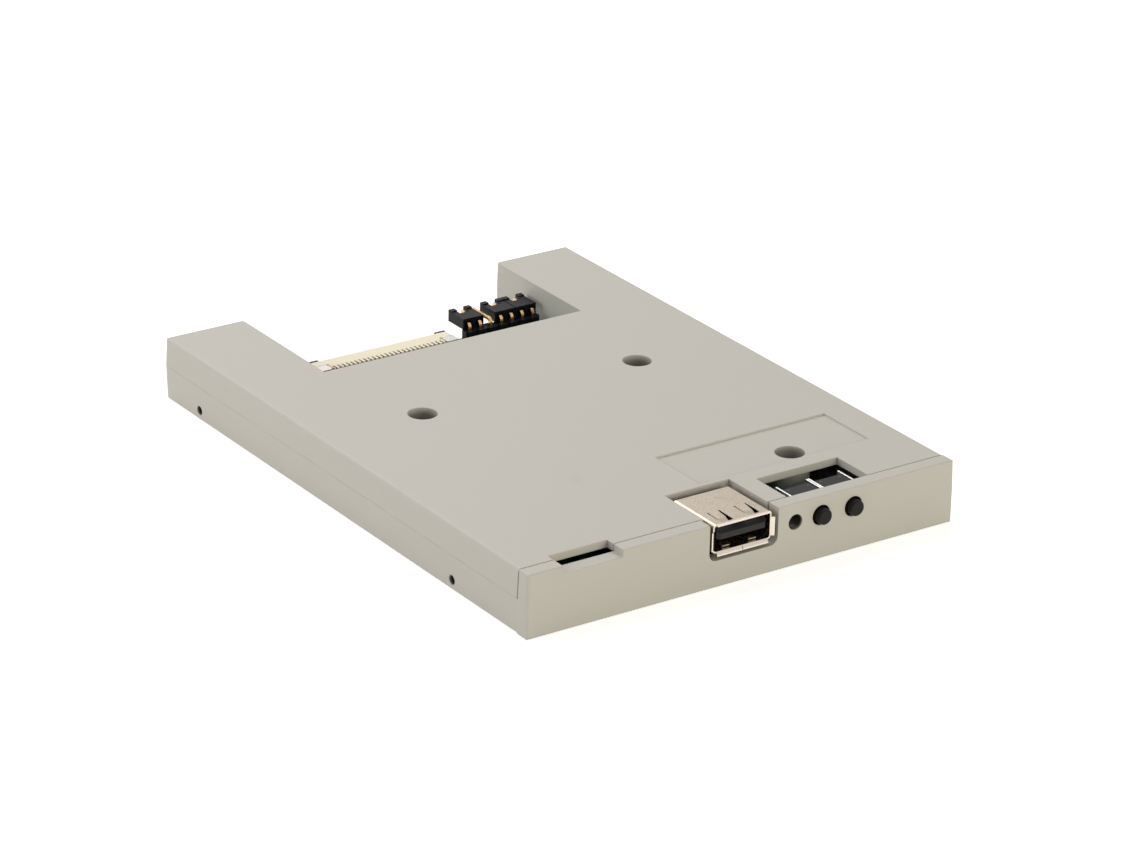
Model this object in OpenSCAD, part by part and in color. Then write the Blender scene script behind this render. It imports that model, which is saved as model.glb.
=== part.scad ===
// Slim floppy drive emulator: a two-shell moulded case with a board, a USB socket, two push buttons,
// a ribbon connector with a sliding lock and a pin header with three jumper caps.
// Origin at the bottom centre of the whole outline, buttons included. +X right, +Y to the rear, +Z up.

/* [Case] */
// Width of the case at the parting line
body_w = 96; // [90:1:110]
// Depth of the case from the bezel's face to the rear
body_d = 129; // [125:1:140]
// Height of the case
body_h = 12.7; // [12.5:0.1:15]
// Height of the parting line between the two shells
part_z = 7; // [6.8:0.1:8]
// Draft of the moulded sides in degrees
draft = 2.3; // [0.5:0.1:3]
// Radius of the rear corners at the parting line
corner_r = 1.4; // [1.2:0.1:3]
// Radius along the upper edges of the cover
cover_edge_r = 0.8; // [0.3:0.1:1]
// Radius along the edges of the bezel and the bottom shell
base_edge_r = 0.35; // [0.2:0.05:0.5]
// Radius of the bezel's upright edges
bezel_edge_r = 0.45; // [0.3:0.05:0.6]
// Thickness of the bezel
bezel_t = 3; // [2.5:0.1:3.4]
// Width of the groove between bezel and cover
groove_w = 0.25; // [0.1:0.05:0.4]
// Width of the notch in the rear
notch_w = 60.4; // [60:0.1:66]
// Depth of the notch in the rear
notch_d = 31.5; // [28:0.5:33]

/* [Walls] */
// Thickness of the side walls
wall_t = 1.9; // [1.6:0.1:2.4]
// Thickness of the cover's plate
top_t = 1.5; // [1.2:0.1:1.8]
// Thickness of the floor
floor_t = 1.5; // [1.2:0.1:1.8]
// Height of the lip that locates the cover
lip_h = 1; // [0.6:0.1:1.6]
// Thickness of that lip
lip_t = 0.8; // [0.6:0.1:1]
// Thickness of the ribs
rib_t = 1; // [0.7:0.1:1.4]
// Height of the ribs
rib_h = 1.4; // [0.8:0.1:1.8]
// Clearance between pieces that are put together
fit_gap = 0.1; // [0.05:0.01:0.15]

/* [Screws] */
// Radius of the screw wells in the cover
well_r = 2.9; // [2.8:0.1:3.4]
// Wall of the screw wells
well_wall = 1; // [0.8:0.1:1.4]
// Thickness of the seat under a screw head
seat_t = 1.5; // [1:0.1:1.8]
// Distance of the rear wells from the board's sides
rear_well_inset = 4.5; // [4.2:0.1:8]
// Distance of the rear wells in front of the notch
rear_well_gap = 27.1; // [22:0.1:32]
// Distance of the front well from the board's side
front_well_inset = 5.1; // [4.4:0.1:7]
// Distance of the front well from the front
front_well_y = 19.7; // [18:0.1:22]
// Radius of a screw head
head_r = 2.4; // [2:0.1:2.6]
// Height of a screw head
head_h = 1.5; // [1:0.1:1.8]
// Radius of a screw shank
shank_r = 1.2; // [1:0.05:1.3]
// Radius of the screw holes in the sides
side_hole_r = 0.95; // [0.85:0.05:1.25]
// Depth of the screw holes in the sides
side_hole_d = 6; // [4:0.5:7]
// Height of the screw holes in the sides
side_hole_z = 1.95; // [1.9:0.05:2.2]
// Distance of the front side hole from the front
side_hole_y = 24.6; // [20:0.1:30]
// Distance of the rear side hole from the rear
side_hole_rear = 13.7; // [11:0.1:20]

/* [Cover] */
// Width of the label recess
label_w = 39.4; // [30:0.1:42]
// Depth of the label recess from its front to its rear edge
label_d = 14.2; // [12.5:0.1:15]
// How far the label recess is sunk
label_sink = 0.35; // [0.1:0.05:0.5]
// Sideways place of the label recess
label_x = 20.7; // [18:0.1:22]
// Distance of the label recess from the front
label_y = 16.2; // [15.6:0.1:17.5]
// Width of the window over the switches
window_w = 18.8; // [17:0.1:19.6]
// Sideways place of the window
window_x = 20.6; // [20:0.1:21]
// Distance of the window's rear edge from the front
window_rear = 12.6; // [11:0.1:13.5]
// Width of the slot at the left of the bezel
slot_w = 12.9; // [8:0.1:15]
// Sideways place of that slot
slot_x = -33.9; // [-36:0.1:-30]
// Distance of the slot's rear edge from the front
slot_rear = 5.1; // [4.4:0.1:7]
// How deep the slot is cut into the bezel
slot_sink = 1.4; // [0.8:0.1:2]

/* [Board] */
// Gap between the board and each side of the notch
board_gap = 0.8; // [0.5:0.05:1.5]
// Distance of the board's front edge from the front
board_front = 3.5; // [3.45:0.05:3.8]
// How far the board reaches into the notch
board_reach = 16; // [15.8:0.1:17.5]
// Thickness of the board
board_t = 1.6; // [1.2:0.1:1.6]
// Height of the board's upper face
board_z = 5; // [4.8:0.1:5.1]

/* [USB socket] */
// Sideways place of the socket
usb_x = -0.7; // [-1:0.05:-0.4]
// Height of the middle of the socket
usb_z = 9.5; // [9.4:0.05:9.5]
// Outer width of the socket's shell
usb_w = 13.1; // [13:0.05:13.3]
// Outer height of the socket's shell
usb_h = 5.7; // [5.6:0.05:5.75]
// Length of the shell
usb_d = 13.2; // [12:0.1:13.6]
// Thickness of the sheet metal
usb_sheet = 0.3; // [0.25:0.01:0.32]
// How far the lips of the mouth flare out
usb_flare = 0.55; // [0.3:0.05:0.6]
// Gap between the shell and the left side of the bezel's opening
usb_gate_left = 1.05; // [0.8:0.05:1.1]
// Gap between the shell and the right side of the bezel's opening
usb_gate_right = 1.25; // [0.9:0.05:1.6]
// Height of the lower edge of that opening
usb_gate_z = 5.4; // [5.1:0.05:5.6]
// Radius of its lower corners
usb_gate_r = 1.6; // [0.8:0.1:2]
// Gap between the shell and the left side of the cover's opening
usb_bay_left = 0.37; // [0.15:0.01:0.6]
// Gap between the shell and the right side of the cover's opening
usb_bay_right = 1.07; // [0.6:0.01:1.4]
// Distance of its rear edge from the front
usb_bay_rear = 15.2; // [15.15:0.05:16]

/* [Buttons and lamp] */
// Sideways place of the left button
button_x = 17; // [16.9:0.05:17.1]
// Distance between the buttons
button_pitch = 7.4; // [7.35:0.01:7.6]
// Height of the buttons
button_z = 8.86; // [8.7:0.02:9]
// Radius of a button's stem
button_r = 1.6; // [1.3:0.05:1.7]
// How far a button stands out of the bezel
button_out = 1.4; // [1:0.1:2]
// Radius of the button holes
button_hole_r = 2; // [1.8:0.05:2.2]
// Travel of a button
button_travel = 0.25; // [0.15:0.05:0.25]
// Sideways place of the lamp
lamp_x = 11.05; // [10.6:0.05:11.2]
// Radius of the lamp
lamp_r = 1.46; // [1.3:0.02:1.48]
// Radius of the lamp's hole
lamp_hole_r = 1.55; // [1.5:0.05:1.7]

/* [Ribbon connector] */
// Number of contacts, where the board has room for them
ribbon_count = 26; // [10:1:26]
// Distance between contacts
ribbon_pitch = 1; // [0.9:0.01:1.02]
// Gap between the connector and the pin header
ribbon_gap = 3.53; // [3:0.01:3.8]
// Length of the housing past the outer contacts
ribbon_end = 3.55; // [3.4:0.05:4.5]
// Height of the housing
ribbon_h = 2.7; // [2.4:0.1:3]
// Depth of the housing
ribbon_d = 4.8; // [4.6:0.1:5.6]
// Distance of the housing from the board's rear edge
ribbon_inset = 0.8; // [0.75:0.05:1]
// Travel of the lock
lock_travel = 1.2; // [0.8:0.1:1.6]

/* [Pin header] */
// Number of pins
pin_count = 7; // [6:1:7]
// Distance between pins
pin_pitch = 2.54; // [2.5:0.01:2.55]
// Distance of the header's end from the board's side
header_inset = 0.39; // [0.3:0.01:1]
// Distance of the pins from the board's rear edge
pin_inset = 2.2; // [1.9:0.1:2.5]
// Thickness of a pin
pin_t = 0.64; // [0.5:0.02:0.66]
// Height of the header's base
header_h = 2.5; // [2.2:0.05:2.6]
// Height of a pin's flat run over the base
pin_rise = 1.2; // [1.15:0.05:1.6]
// How far the pin tips reach behind the row
pin_reach = 6.6; // [6:0.1:7.5]
// Length of a jumper cap
cap_d = 5.5; // [5:0.1:6]
// Height of a jumper cap
cap_h = 2.2; // [2.1:0.05:2.4]
// Pins that the caps start on, counted from zero
cap_starts = [0, 3, 5];

/* [Hidden] */
$fn = 48;

// Overrun of every cut, and how much wider than its fillet a rounding is drawn, so that it meets the
// faces beside it in a faint crease
cut = 0.5;
crease_share = 1.02;
case_grey = [0.77, 0.765, 0.73];
board_green = [0.1, 0.42, 0.3];
steel = [0.78, 0.77, 0.74];
gold = [0.85, 0.66, 0.32];
black = [0.1, 0.1, 0.11];
cream = [0.95, 0.9, 0.8];

// The case in its own frame
front_y = (button_out - body_d) / 2;
rear_y = front_y + body_d;
half_w = body_w / 2;
notch_y = rear_y - notch_d;
top_lean = (body_h - part_z) * tan(draft);
base_lean = part_z * tan(draft);
cover_r = min(cover_edge_r, (corner_r - top_lean) * 0.9);
base_r = min(base_edge_r, (corner_r - base_lean) * 0.9);
plate_z = body_h - top_t;
side_hole_pitch = body_d - side_hole_rear - side_hole_y;

// The board in the case
board_w = notch_w - 2 * board_gap;
board_rear = body_d - notch_d + board_reach;
board_low = board_z - board_t;
rear_well_x = board_w / 2 - rear_well_inset;
rear_well_y = body_d - notch_d - rear_well_gap;
front_well_x = board_w / 2 - front_well_inset;
well_places = [[-rear_well_x, rear_well_y], [rear_well_x, rear_well_y], [front_well_x, front_well_y]];
seat_z = board_z + fit_gap + seat_t;
boss_wall = 1.3;
shank_tip_z = 0.9;
shank_gap = 0.05;
side_boss_wall = 1.4;
ledge_d = 1.2;
pillar_r = 1.5;
pillar_inset = 3;
pillar_front = 14;
tail_low = board_low - 0.8 * board_t / 1.6;

// The USB socket
usb_gate_w = usb_w + usb_gate_left + usb_gate_right;
usb_gate_x = usb_x + (usb_gate_right - usb_gate_left) / 2;
usb_bay_w = usb_w + usb_bay_left + usb_bay_right;
usb_bay_x = usb_x + (usb_bay_right - usb_bay_left) / 2;
usb_tip = 0.05;
usb_set = 0.5;
usb_corner_r = 0.7;
usb_top = usb_z + usb_h / 2;
usb_low = usb_z - usb_h / 2;
spring_x = 2.97;
spring_w = 2.74;
spring_d = 4.65;
spring_y = 1;
spring_slit = 0.27;
spring_slot = 0.35;
spring_tip_w = 1.7;
spring_knee_share = 0.62;
spring_heel_share = 0.86;
spring_sag = 0.2;
spring_dip = 0.6;
spring_lift = 0.38;
tongue_gap = 1;
tongue_w = usb_w - 2 * tongue_gap;
tongue_t = 1.84;
tongue_drop = 0.9;
tongue_front = 0.3;
tongue_face_h = 1.1;
tongue_slope_d = 1.3;
tongue_bevel = 0.6;
core_front = 9;
block_d = 1.4;
block_drop = 0.95;
strip_t = 0.25;
strip_w = 1;
strip_bow = 0.6;
strip_bow_run = 2.2;
strip_places = [-3.5, -1, 1, 3.5];
leg_w = 1.2;
leg_places = [4.6, 10.2];
leg_hole_r = 0.8;
wire_hole_r = 0.5;

ledge_spans = [
  [wall_t + rib_t - half_w, slot_x - slot_w / 2 - rib_t],
  [slot_x + slot_w / 2 + rib_t, usb_bay_x - usb_bay_w / 2 - rib_t],
  [window_x + window_w / 2 + rib_t, half_w - wall_t - rib_t]
];

// The switches and the lamp, measured from the bezel's face
switch_front = 4.5;
switch_w = 6;
switch_h = 5.4;
switch_d = 3.6;
switch_cup_r = 2.35;
switch_cup_d = 1.9;
bracket_t = 0.35;
bracket_w = 7.25;
bracket_top = 2.79;
bracket_rear = 9.45;
bracket_leg_w = 0.7;
bracket_leg_places = [4.9, 8.5];
flange_r = 2.1;
flange_t = 0.9;
stem_chamfer = 0.2;
stem_taper = 0.08;
dome_r = 1.9;
dome_h = 0.55;
dome_t = 0.08;
terminal_x = 2.2;
terminal_w = 0.6;
terminal_t = 0.3;
lamp_tip = 3.3;
lamp_d = 3.1;
lamp_flange_r = 1.8;
lamp_flange_t = 0.8;
lead_t = 0.5;
lead_x = 1.27;
lead_run = 2;

// The header's row
header_w = pin_count * pin_pitch;
header_low_x = board_w / 2 - header_inset - header_w;
pin_x = header_low_x + pin_pitch / 2;
pin_y = board_rear - pin_inset;
pin_tip_y = pin_y + pin_reach;

// The ribbon connector, beside the header
ribbon_room = header_low_x - ribbon_gap + board_w / 2 - header_inset - 2 * ribbon_end;
contact_count = min(ribbon_count, floor(ribbon_room / ribbon_pitch) + 1);
ribbon_span = (contact_count - 1) * ribbon_pitch;
ribbon_w = ribbon_span + 2 * ribbon_end;
ribbon_x = header_low_x - ribbon_gap - ribbon_w / 2;
ribbon_rear = board_rear - ribbon_inset;
ribbon_front = ribbon_rear - ribbon_d;
ledge_w = 2.6;
ledge_h = 2.5;
ledge_depth = 2.6;
slit_w = 0.45;
slit_d = 1.45;
slit_drop = 0.6;
mouth_w = ribbon_span + 3.2 * ribbon_pitch;
mouth_d = 3.1;
mouth_h = 1.1;
mouth_z = 0.9;
lock_t = 0.6;
lock_blade_t = 0.5;
lock_bar_h = 1.6;
ear_w = 2.3;
contact_t = 0.3;
contact_foot = 0.8;
foot_t = 0.2;
tab_t = 0.2;
tab_foot = 0.9;
tab_d = ledge_depth - 2 * fit_gap;

// The header and its caps
header_d = 2.5;
header_chamfer = 0.5;
bend_r = 0.4;
run_z = board_z + header_h + pin_rise;
cap_y = pin_y + pin_t / 2 + 0.28 * pin_t;
cap_w = 2 * pin_pitch - 0.28 * pin_t;
cap_notch_d = 2.3;
cap_ear_w = 1.35;
cap_ear_rise = 0.25;
cap_pocket_w = 4.1;
cap_pocket_h = 1.1;
cap_wall_d = 0.7;
cap_hole_w = pin_t + 2 * fit_gap;
cap_funnel_d = 0.3;
cap_funnel_w = 1.5;
clip_t = 0.15;
clip_gap = 0.03;

// Parts on the board: sizes, and places as shares of the board's half width and of its covered length
chip_w = 7;
chip_t = 1.4;
chip_lift = 0.1;
chip_chamfer = 0.4;
chip_share = [0.07, 0.61];
qfp_leads = 12;
qfp_pitch = 0.5;
lead_w = 0.24;
lead_foil = 0.15;
lead_reach = 1;
lead_foot = 0.45;
so_w = 3.9;
so_l = 8.65;
so_leads = 7;
so_pitch = 1.27;
so_lead_w = 0.42;
so_shares = [[-0.51, 0.86], [0, 0.86], [0.51, 0.86]];
can_l = 11.05;
can_w = 4.65;
can_h = 3.5;
can_rim = 0.5;
can_rim_t = 0.4;
can_share = [-0.41, 0.61];
reg_w = 6.5;
reg_d = 3.5;
reg_h = 1.6;
reg_tab_w = 3;
reg_tab_d = 1.8;
reg_tab_t = 0.3;
reg_leg_w = 0.7;
reg_leg_pitch = 2.3;
reg_share = [-0.3, 0.29];
cap_can_r = 2.5;
cap_can_h = 5.2;
cap_can_base = 5.3;
cap_can_base_h = 0.8;
cap_can_shares = [[-0.75, 0.18], [-0.75, 0.36]];
res_l = 2;
res_w = 1.25;
res_h = 0.5;
res_count = 12;
res_pitch = 3.6;
res_share = [-0.67, 0.945];

// Distance from the bezel's face, as a place along Y
function from_front(d) = front_y + d;

// Place on the board for a pair of shares
covered_d = body_d - notch_d - wall_t - board_front;
function on_board(share) =
  [share[0] * board_w / 2, from_front(board_front + share[1] * covered_d), board_z];

// Flat region outside a rounded edge: the corner is at the origin, one face runs to the left and the
// other falls away with an outward lean of a degrees
module edge_waste(r, a) {
  t = r / tan((90 + a) / 2);
  difference() {
    polygon([
      [-t, cut], [cut + t, cut], [cut + t, -t * cos(a)], [t * sin(a), -t * cos(a)], [-t, -r]
    ]);
    translate([-t, -r]) circle(crease_share * r);
  }
}

// Waste along the sides and the rear of the outline's upper face, mitred at the corners; the sides
// fall away at a degrees
module rim_waste(r, lean, a) {
  for (side = [0, 1]) mirror([side, 0, 0])
    translate([half_w - lean, rear_y + cut, 0])
      rotate([90, 0, 0]) linear_extrude(body_d + 2 * cut) edge_waste(r, a);
  translate([-half_w - cut, rear_y - lean, 0])
    rotate([90, 0, 90]) linear_extrude(body_w + 2 * cut) edge_waste(r, a);
}

// Waste outside a rounded upright edge of height h: the edge stands on the origin, the solid lies to
// its left and behind it
module upright_waste(r, h) {
  difference() {
    translate([-r, -cut, -cut]) cube([r + cut, r + cut, h + 2 * cut]);
    translate([-r, r, -2 * cut]) cylinder(h = h + 4 * cut, r = crease_share * r);
  }
}

// Waste outside the notch's two rear corners, leaning with the rear wall
module notch_corner_waste() {
  for (side = [0, 1]) mirror([side, 0, 0]) translate([notch_w / 2, rear_y, part_z]) {
    rotate([draft, 0, 0]) rotate([0, 0, 180]) upright_waste(corner_r, body_h - part_z + cut);
    mirror([0, 0, 1]) rotate([draft, 0, 0]) rotate([0, 0, 180]) upright_waste(corner_r, part_z + cut);
  }
}

// Waste outside the coned rear corners
module corner_waste() {
  for (side = [0, 1]) mirror([side, 0, 0])
    translate([half_w - corner_r, rear_y - corner_r, 0]) difference() {
      translate([0, 0, -cut]) cube([corner_r + cut, corner_r + cut, body_h + 2 * cut]);
      cylinder(h = part_z, r1 = crease_share * (corner_r - base_lean), r2 = crease_share * corner_r);
      translate([0, 0, part_z]) cylinder(h = body_h - part_z, r1 = crease_share * corner_r,
                                         r2 = crease_share * (corner_r - top_lean));
    }
}

// Case outline seen from the front, widest at the parting line
module front_profile() {
  polygon([
    [base_lean - half_w, 0], [half_w - base_lean, 0], [half_w, part_z],
    [half_w - top_lean, body_h], [top_lean - half_w, body_h], [-half_w, part_z]
  ]);
}

// Case outline seen from the side
module side_profile() {
  polygon([
    [front_y, 0], [rear_y - base_lean, 0], [rear_y, part_z], [rear_y - top_lean, body_h],
    [front_y, body_h]
  ]);
}

// The whole case as one drafted block with the rear notch, its upper rim rounded by r
module case_block(r) {
  difference() {
    intersection() {
      rotate([90, 0, 0]) linear_extrude(2 * body_d, center = true) front_profile();
      rotate([90, 0, 90]) linear_extrude(2 * body_w, center = true) side_profile();
    }
    corner_waste();
    notch_corner_waste();
    translate([0, 0, body_h]) rim_waste(r, top_lean, draft);
    mirror([0, 0, 1]) rim_waste(base_r, base_lean, draft);
    translate([-notch_w / 2, notch_y, -cut]) cube([notch_w, notch_d + cut, body_h + 2 * cut]);
  }
}

// Plan of the inside at a distance t from the outline
module inner_plan(t) {
  difference() {
    translate([t - half_w, from_front(bezel_t)]) square([body_w - 2 * t, body_d - bezel_t - t]);
    translate([-notch_w / 2 - t, notch_y - t]) square([notch_w + 2 * t, notch_d + t]);
  }
}

// Space above a height z, from one distance from the front to another
module slab(z, near, far) {
  translate([-body_w, from_front(near), z]) cube([2 * body_w, far - near, 2 * body_h]);
}

// Bezel: the full height front wall with softened edges; below the parting line its ends stand
// upright, proud of the drafted sides
module bezel() {
  difference() {
    translate([0, front_y + bezel_t, 0]) rotate([90, 0, 0]) linear_extrude(bezel_t) polygon([
      [-half_w, 0], [half_w, 0], [half_w, part_z], [half_w - top_lean, body_h],
      [top_lean - half_w, body_h], [-half_w, part_z]
    ]);
    translate([0, 0, body_h]) rim_waste(base_r, top_lean, draft);
    mirror([0, 0, 1]) rim_waste(base_r, 0, 0);
    for (side = [0, 1]) mirror([side, 0, 0]) translate([half_w, front_y, 0]) {
      upright_waste(bezel_edge_r, part_z);
      translate([0, 0, part_z]) rotate([0, -draft, 0]) upright_waste(bezel_edge_r, body_h - part_z + cut);
    }
    translate([-body_w, front_y, body_h]) mirror([0, 1, 0])
      rotate([90, 0, 90]) linear_extrude(2 * body_w) edge_waste(base_r, 0);
    translate([-body_w, front_y, 0]) mirror([0, 1, 0]) mirror([0, 0, 1])
      rotate([90, 0, 90]) linear_extrude(2 * body_w) edge_waste(base_r, 0);
  }
}

// Lip that stands up inside the cover's skirt
module lip() {
  difference() {
    translate([0, 0, part_z - lip_h]) linear_extrude(2 * lip_h) inner_plan(wall_t - lip_t);
    translate([0, 0, -cut]) linear_extrude(body_h) inner_plan(wall_t);
    translate([-notch_w / 2 - wall_t, notch_y - wall_t - cut, 0])
      cube([notch_w + 2 * wall_t, wall_t + cut, body_h]);
  }
}

// Ribs that stiffen a shell, standing on z = 0
module shell_ribs(z_size) {
  bay = (half_w - notch_w / 2) / 2;
  for (side = [-1, 1]) {
    translate([side * (half_w - bay) - rib_t / 2, from_front(2 * bezel_t), 0])
      cube([rib_t, body_d - 2 * bezel_t - wall_t, z_size]);
    for (place = [0.25, 0.5, 0.75, 0.95])
      translate([side * (half_w - bay), from_front(place * body_d), z_size / 2])
        cube([2 * bay - 2 * wall_t, rib_t, z_size], center = true);
  }
}

module bottom_case() {
  color(case_grey) difference() {
    union() {
      difference() {
        intersection() {
          case_block(base_r);
          translate([-body_w, from_front(bezel_t) - cut, -cut]) cube([2 * body_w, body_d, part_z + cut]);
        }
        translate([0, 0, floor_t]) linear_extrude(body_h) inner_plan(wall_t);
      }
      bezel();
      lip();
      translate([0, 0, floor_t - fit_gap]) shell_ribs(rib_h);
      // Ledge behind the bezel that carries the cover's front edge
      for (span = ledge_spans)
        translate([span[0], from_front(bezel_t) - cut, floor_t - cut])
          cube([span[1] - span[0], ledge_d + cut, plate_z - fit_gap - floor_t + cut]);
      // Bosses and pillars under the board
      for (place = well_places)
        translate([place[0], from_front(place[1]), floor_t - cut])
          cylinder(h = board_low - floor_t + cut, r = shank_r + boss_wall);
      for (side = [-1, 1], place = [pillar_front, body_d - notch_d - wall_t - pillar_inset])
        translate([side * (board_w / 2 - pillar_inset), from_front(place), floor_t - cut])
          cylinder(h = board_low - floor_t + cut, r = pillar_r);
      // Bosses round the side screw holes
      for (side = [0, 1], place = [0, side_hole_pitch]) mirror([side, 0, 0])
        translate([half_w - base_lean - side_hole_d - side_boss_wall,
                   from_front(side_hole_y + place) - side_hole_r - side_boss_wall, floor_t - cut])
          cube([side_hole_d + side_boss_wall - cut, 2 * (side_hole_r + side_boss_wall),
                side_hole_z + side_hole_r + side_boss_wall - floor_t + cut]);
    }
    // Way for the board over the notch wall
    translate([-board_w / 2 - fit_gap, notch_y - wall_t - cut, board_low])
      cube([board_w + 2 * fit_gap, wall_t + 2 * cut, body_h]);
    // Opening for the USB socket, open at the top
    translate([usb_gate_x, from_front(bezel_t + ledge_d + cut), 0]) rotate([90, 0, 0])
      linear_extrude(bezel_t + ledge_d + 2 * cut) {
        translate([-usb_gate_w / 2, usb_gate_z + usb_gate_r]) square([usb_gate_w, body_h]);
        translate([usb_gate_r - usb_gate_w / 2, usb_gate_z])
          square([usb_gate_w - 2 * usb_gate_r, usb_gate_r + cut]);
        for (side = [-1, 1])
          translate([side * (usb_gate_w / 2 - usb_gate_r), usb_gate_z + usb_gate_r]) circle(usb_gate_r);
      }
    // Slot cut into the bezel's upper edge
    translate([slot_x - slot_w / 2, front_y - cut, body_h - slot_sink])
      cube([slot_w, bezel_t + ledge_d + 2 * cut, slot_sink + cut]);
    // Holes for the lamp and the buttons
    translate([lamp_x, front_y - cut, button_z]) rotate([-90, 0, 0])
      cylinder(h = bezel_t + 2 * cut, r = lamp_hole_r);
    for (place = [0, button_pitch]) translate([button_x + place, front_y - cut, button_z])
      rotate([-90, 0, 0]) cylinder(h = bezel_t + 2 * cut, r = button_hole_r);
    // Screw holes in the bosses and in the sides
    for (place = well_places) translate([place[0], from_front(place[1]), shank_tip_z - fit_gap])
      cylinder(h = board_low, r = shank_r + shank_gap);
    for (side = [0, 1], place = [0, side_hole_pitch]) mirror([side, 0, 0])
      translate([half_w - base_lean - side_hole_d, from_front(side_hole_y + place), side_hole_z])
        rotate([0, 90, 0]) cylinder(h = side_hole_d + base_lean + cut, r = side_hole_r);
  }
}

module top_cover() {
  color(case_grey) difference() {
    union() {
      difference() {
        intersection() {
          case_block(cover_r);
          slab(part_z, bezel_t + groove_w, 2 * body_d);
        }
        translate([0, 0, -cut]) linear_extrude(plate_z + cut) inner_plan(wall_t);
        translate([0, 0, -cut]) linear_extrude(part_z + lip_h + fit_gap + cut)
          inner_plan(wall_t - lip_t - fit_gap);
      }
      // Skirt over the board along the notch
      translate([-board_w / 2, notch_y - wall_t, board_z + fit_gap])
        cube([board_w, wall_t, plate_z - board_z]);
      intersection() {
        translate([0, 0, plate_z - rib_h]) shell_ribs(rib_h + cut);
        linear_extrude(plate_z + top_t / 2) inner_plan(wall_t + fit_gap);
      }
      for (place = well_places) translate([place[0], from_front(place[1]), board_z + fit_gap])
        cylinder(h = plate_z - board_z, r = well_r + well_wall);
    }
    for (place = well_places) translate([place[0], from_front(place[1]), 0]) {
      translate([0, 0, seat_z]) cylinder(h = body_h, r = well_r);
      cylinder(h = body_h, r = shank_r + 2 * fit_gap);
    }
    translate([label_x - label_w / 2, from_front(label_y), body_h - label_sink])
      cube([label_w, label_d, label_sink + cut]);
    translate([window_x - window_w / 2, from_front(0), plate_z - cut])
      cube([window_w, window_rear, top_t + 2 * cut]);
    translate([usb_bay_x - usb_bay_w / 2, from_front(0), part_z - cut])
      cube([usb_bay_w, usb_bay_rear, body_h]);
    translate([slot_x - slot_w / 2, from_front(0), plate_z - cut])
      cube([slot_w, slot_rear, top_t + 2 * cut]);
  }
}

// Pan head screws with a cross recess, seated in the wells
module case_screws() {
  recess_w = head_r / 3;
  recess_l = head_r * 1.2;
  head_flat = head_h / 2;
  color(steel) for (place = well_places) translate([place[0], from_front(place[1]), seat_z])
    difference() {
      union() {
        cylinder(h = head_flat, r = head_r);
        translate([0, 0, head_flat]) cylinder(h = head_h - head_flat, r1 = head_r, r2 = head_r * 0.75);
        translate([0, 0, shank_tip_z - seat_z + shank_r])
          cylinder(h = seat_z - shank_tip_z - shank_r + head_flat, r = shank_r);
        translate([0, 0, shank_tip_z - seat_z]) cylinder(h = shank_r, r1 = shank_r / 3, r2 = shank_r);
      }
      translate([-recess_l / 2, -recess_w / 2, head_h / 3]) cube([recess_l, recess_w, head_h]);
      translate([-recess_w / 2, -recess_l / 2, head_h / 3]) cube([recess_w, recess_l, head_h]);
    }
}

usb_strip_y = usb_tip + usb_d + block_d + strip_t / 2;
lead_y = lamp_tip + lamp_r + lamp_d + lamp_flange_t + lead_run - lead_t / 2;
// Places of the holes for wires and legs: across, and from the front
wire_places = concat(
  [for (i = [0:pin_count - 1]) [pin_x + i * pin_pitch, pin_y]],
  [for (x = strip_places) [usb_x + x, usb_strip_y]],
  [for (b = [0, 1], s = [-1, 1], y = bracket_leg_places)
    [button_x + b * button_pitch + s * (bracket_w - bracket_t) / 2, y + bracket_leg_w / 2]],
  [for (b = [0, 1], s = [-1, 1])
    [button_x + b * button_pitch + s * terminal_x, switch_front + switch_d + terminal_t / 2]],
  [for (s = [-1, 1]) [lamp_x + s * lead_x, lead_y]]
);

module main_board() {
  color(board_green) difference() {
    translate([-board_w / 2, from_front(board_front), board_low])
      cube([board_w, board_rear - board_front, board_t]);
    // Recess for the ledge behind the bezel
    translate([ledge_spans[1][0] - 2 * fit_gap, from_front(0), 0])
      cube([ledge_spans[1][1] - ledge_spans[1][0] + 4 * fit_gap, bezel_t + ledge_d + 2 * fit_gap, body_h]);
    for (place = well_places) translate([place[0], from_front(place[1]), 0])
      cylinder(h = body_h, r = shank_r + 3 * fit_gap);
    for (place = wire_places) translate([place[0], from_front(place[1]), 0])
      cylinder(h = body_h, r = wire_hole_r, $fn = 24);
    for (side = [-1, 1], place = leg_places)
      translate([usb_x + side * (usb_w - usb_sheet) / 2, from_front(place), 0])
        cylinder(h = body_h, r = leg_hole_r, $fn = 24);
  }
}

// Rounded outline of the socket's shell, set in by t
module usb_outline(t) {
  r = usb_corner_r - t;
  w = usb_w - 2 * t;
  h = usb_h - 2 * t;
  square([w - 2 * r, h], center = true);
  square([w, h - 2 * r], center = true);
  for (x = [-1, 1], z = [-1, 1]) translate([x * (w / 2 - r), z * (h / 2 - r)]) circle(r);
}

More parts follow.
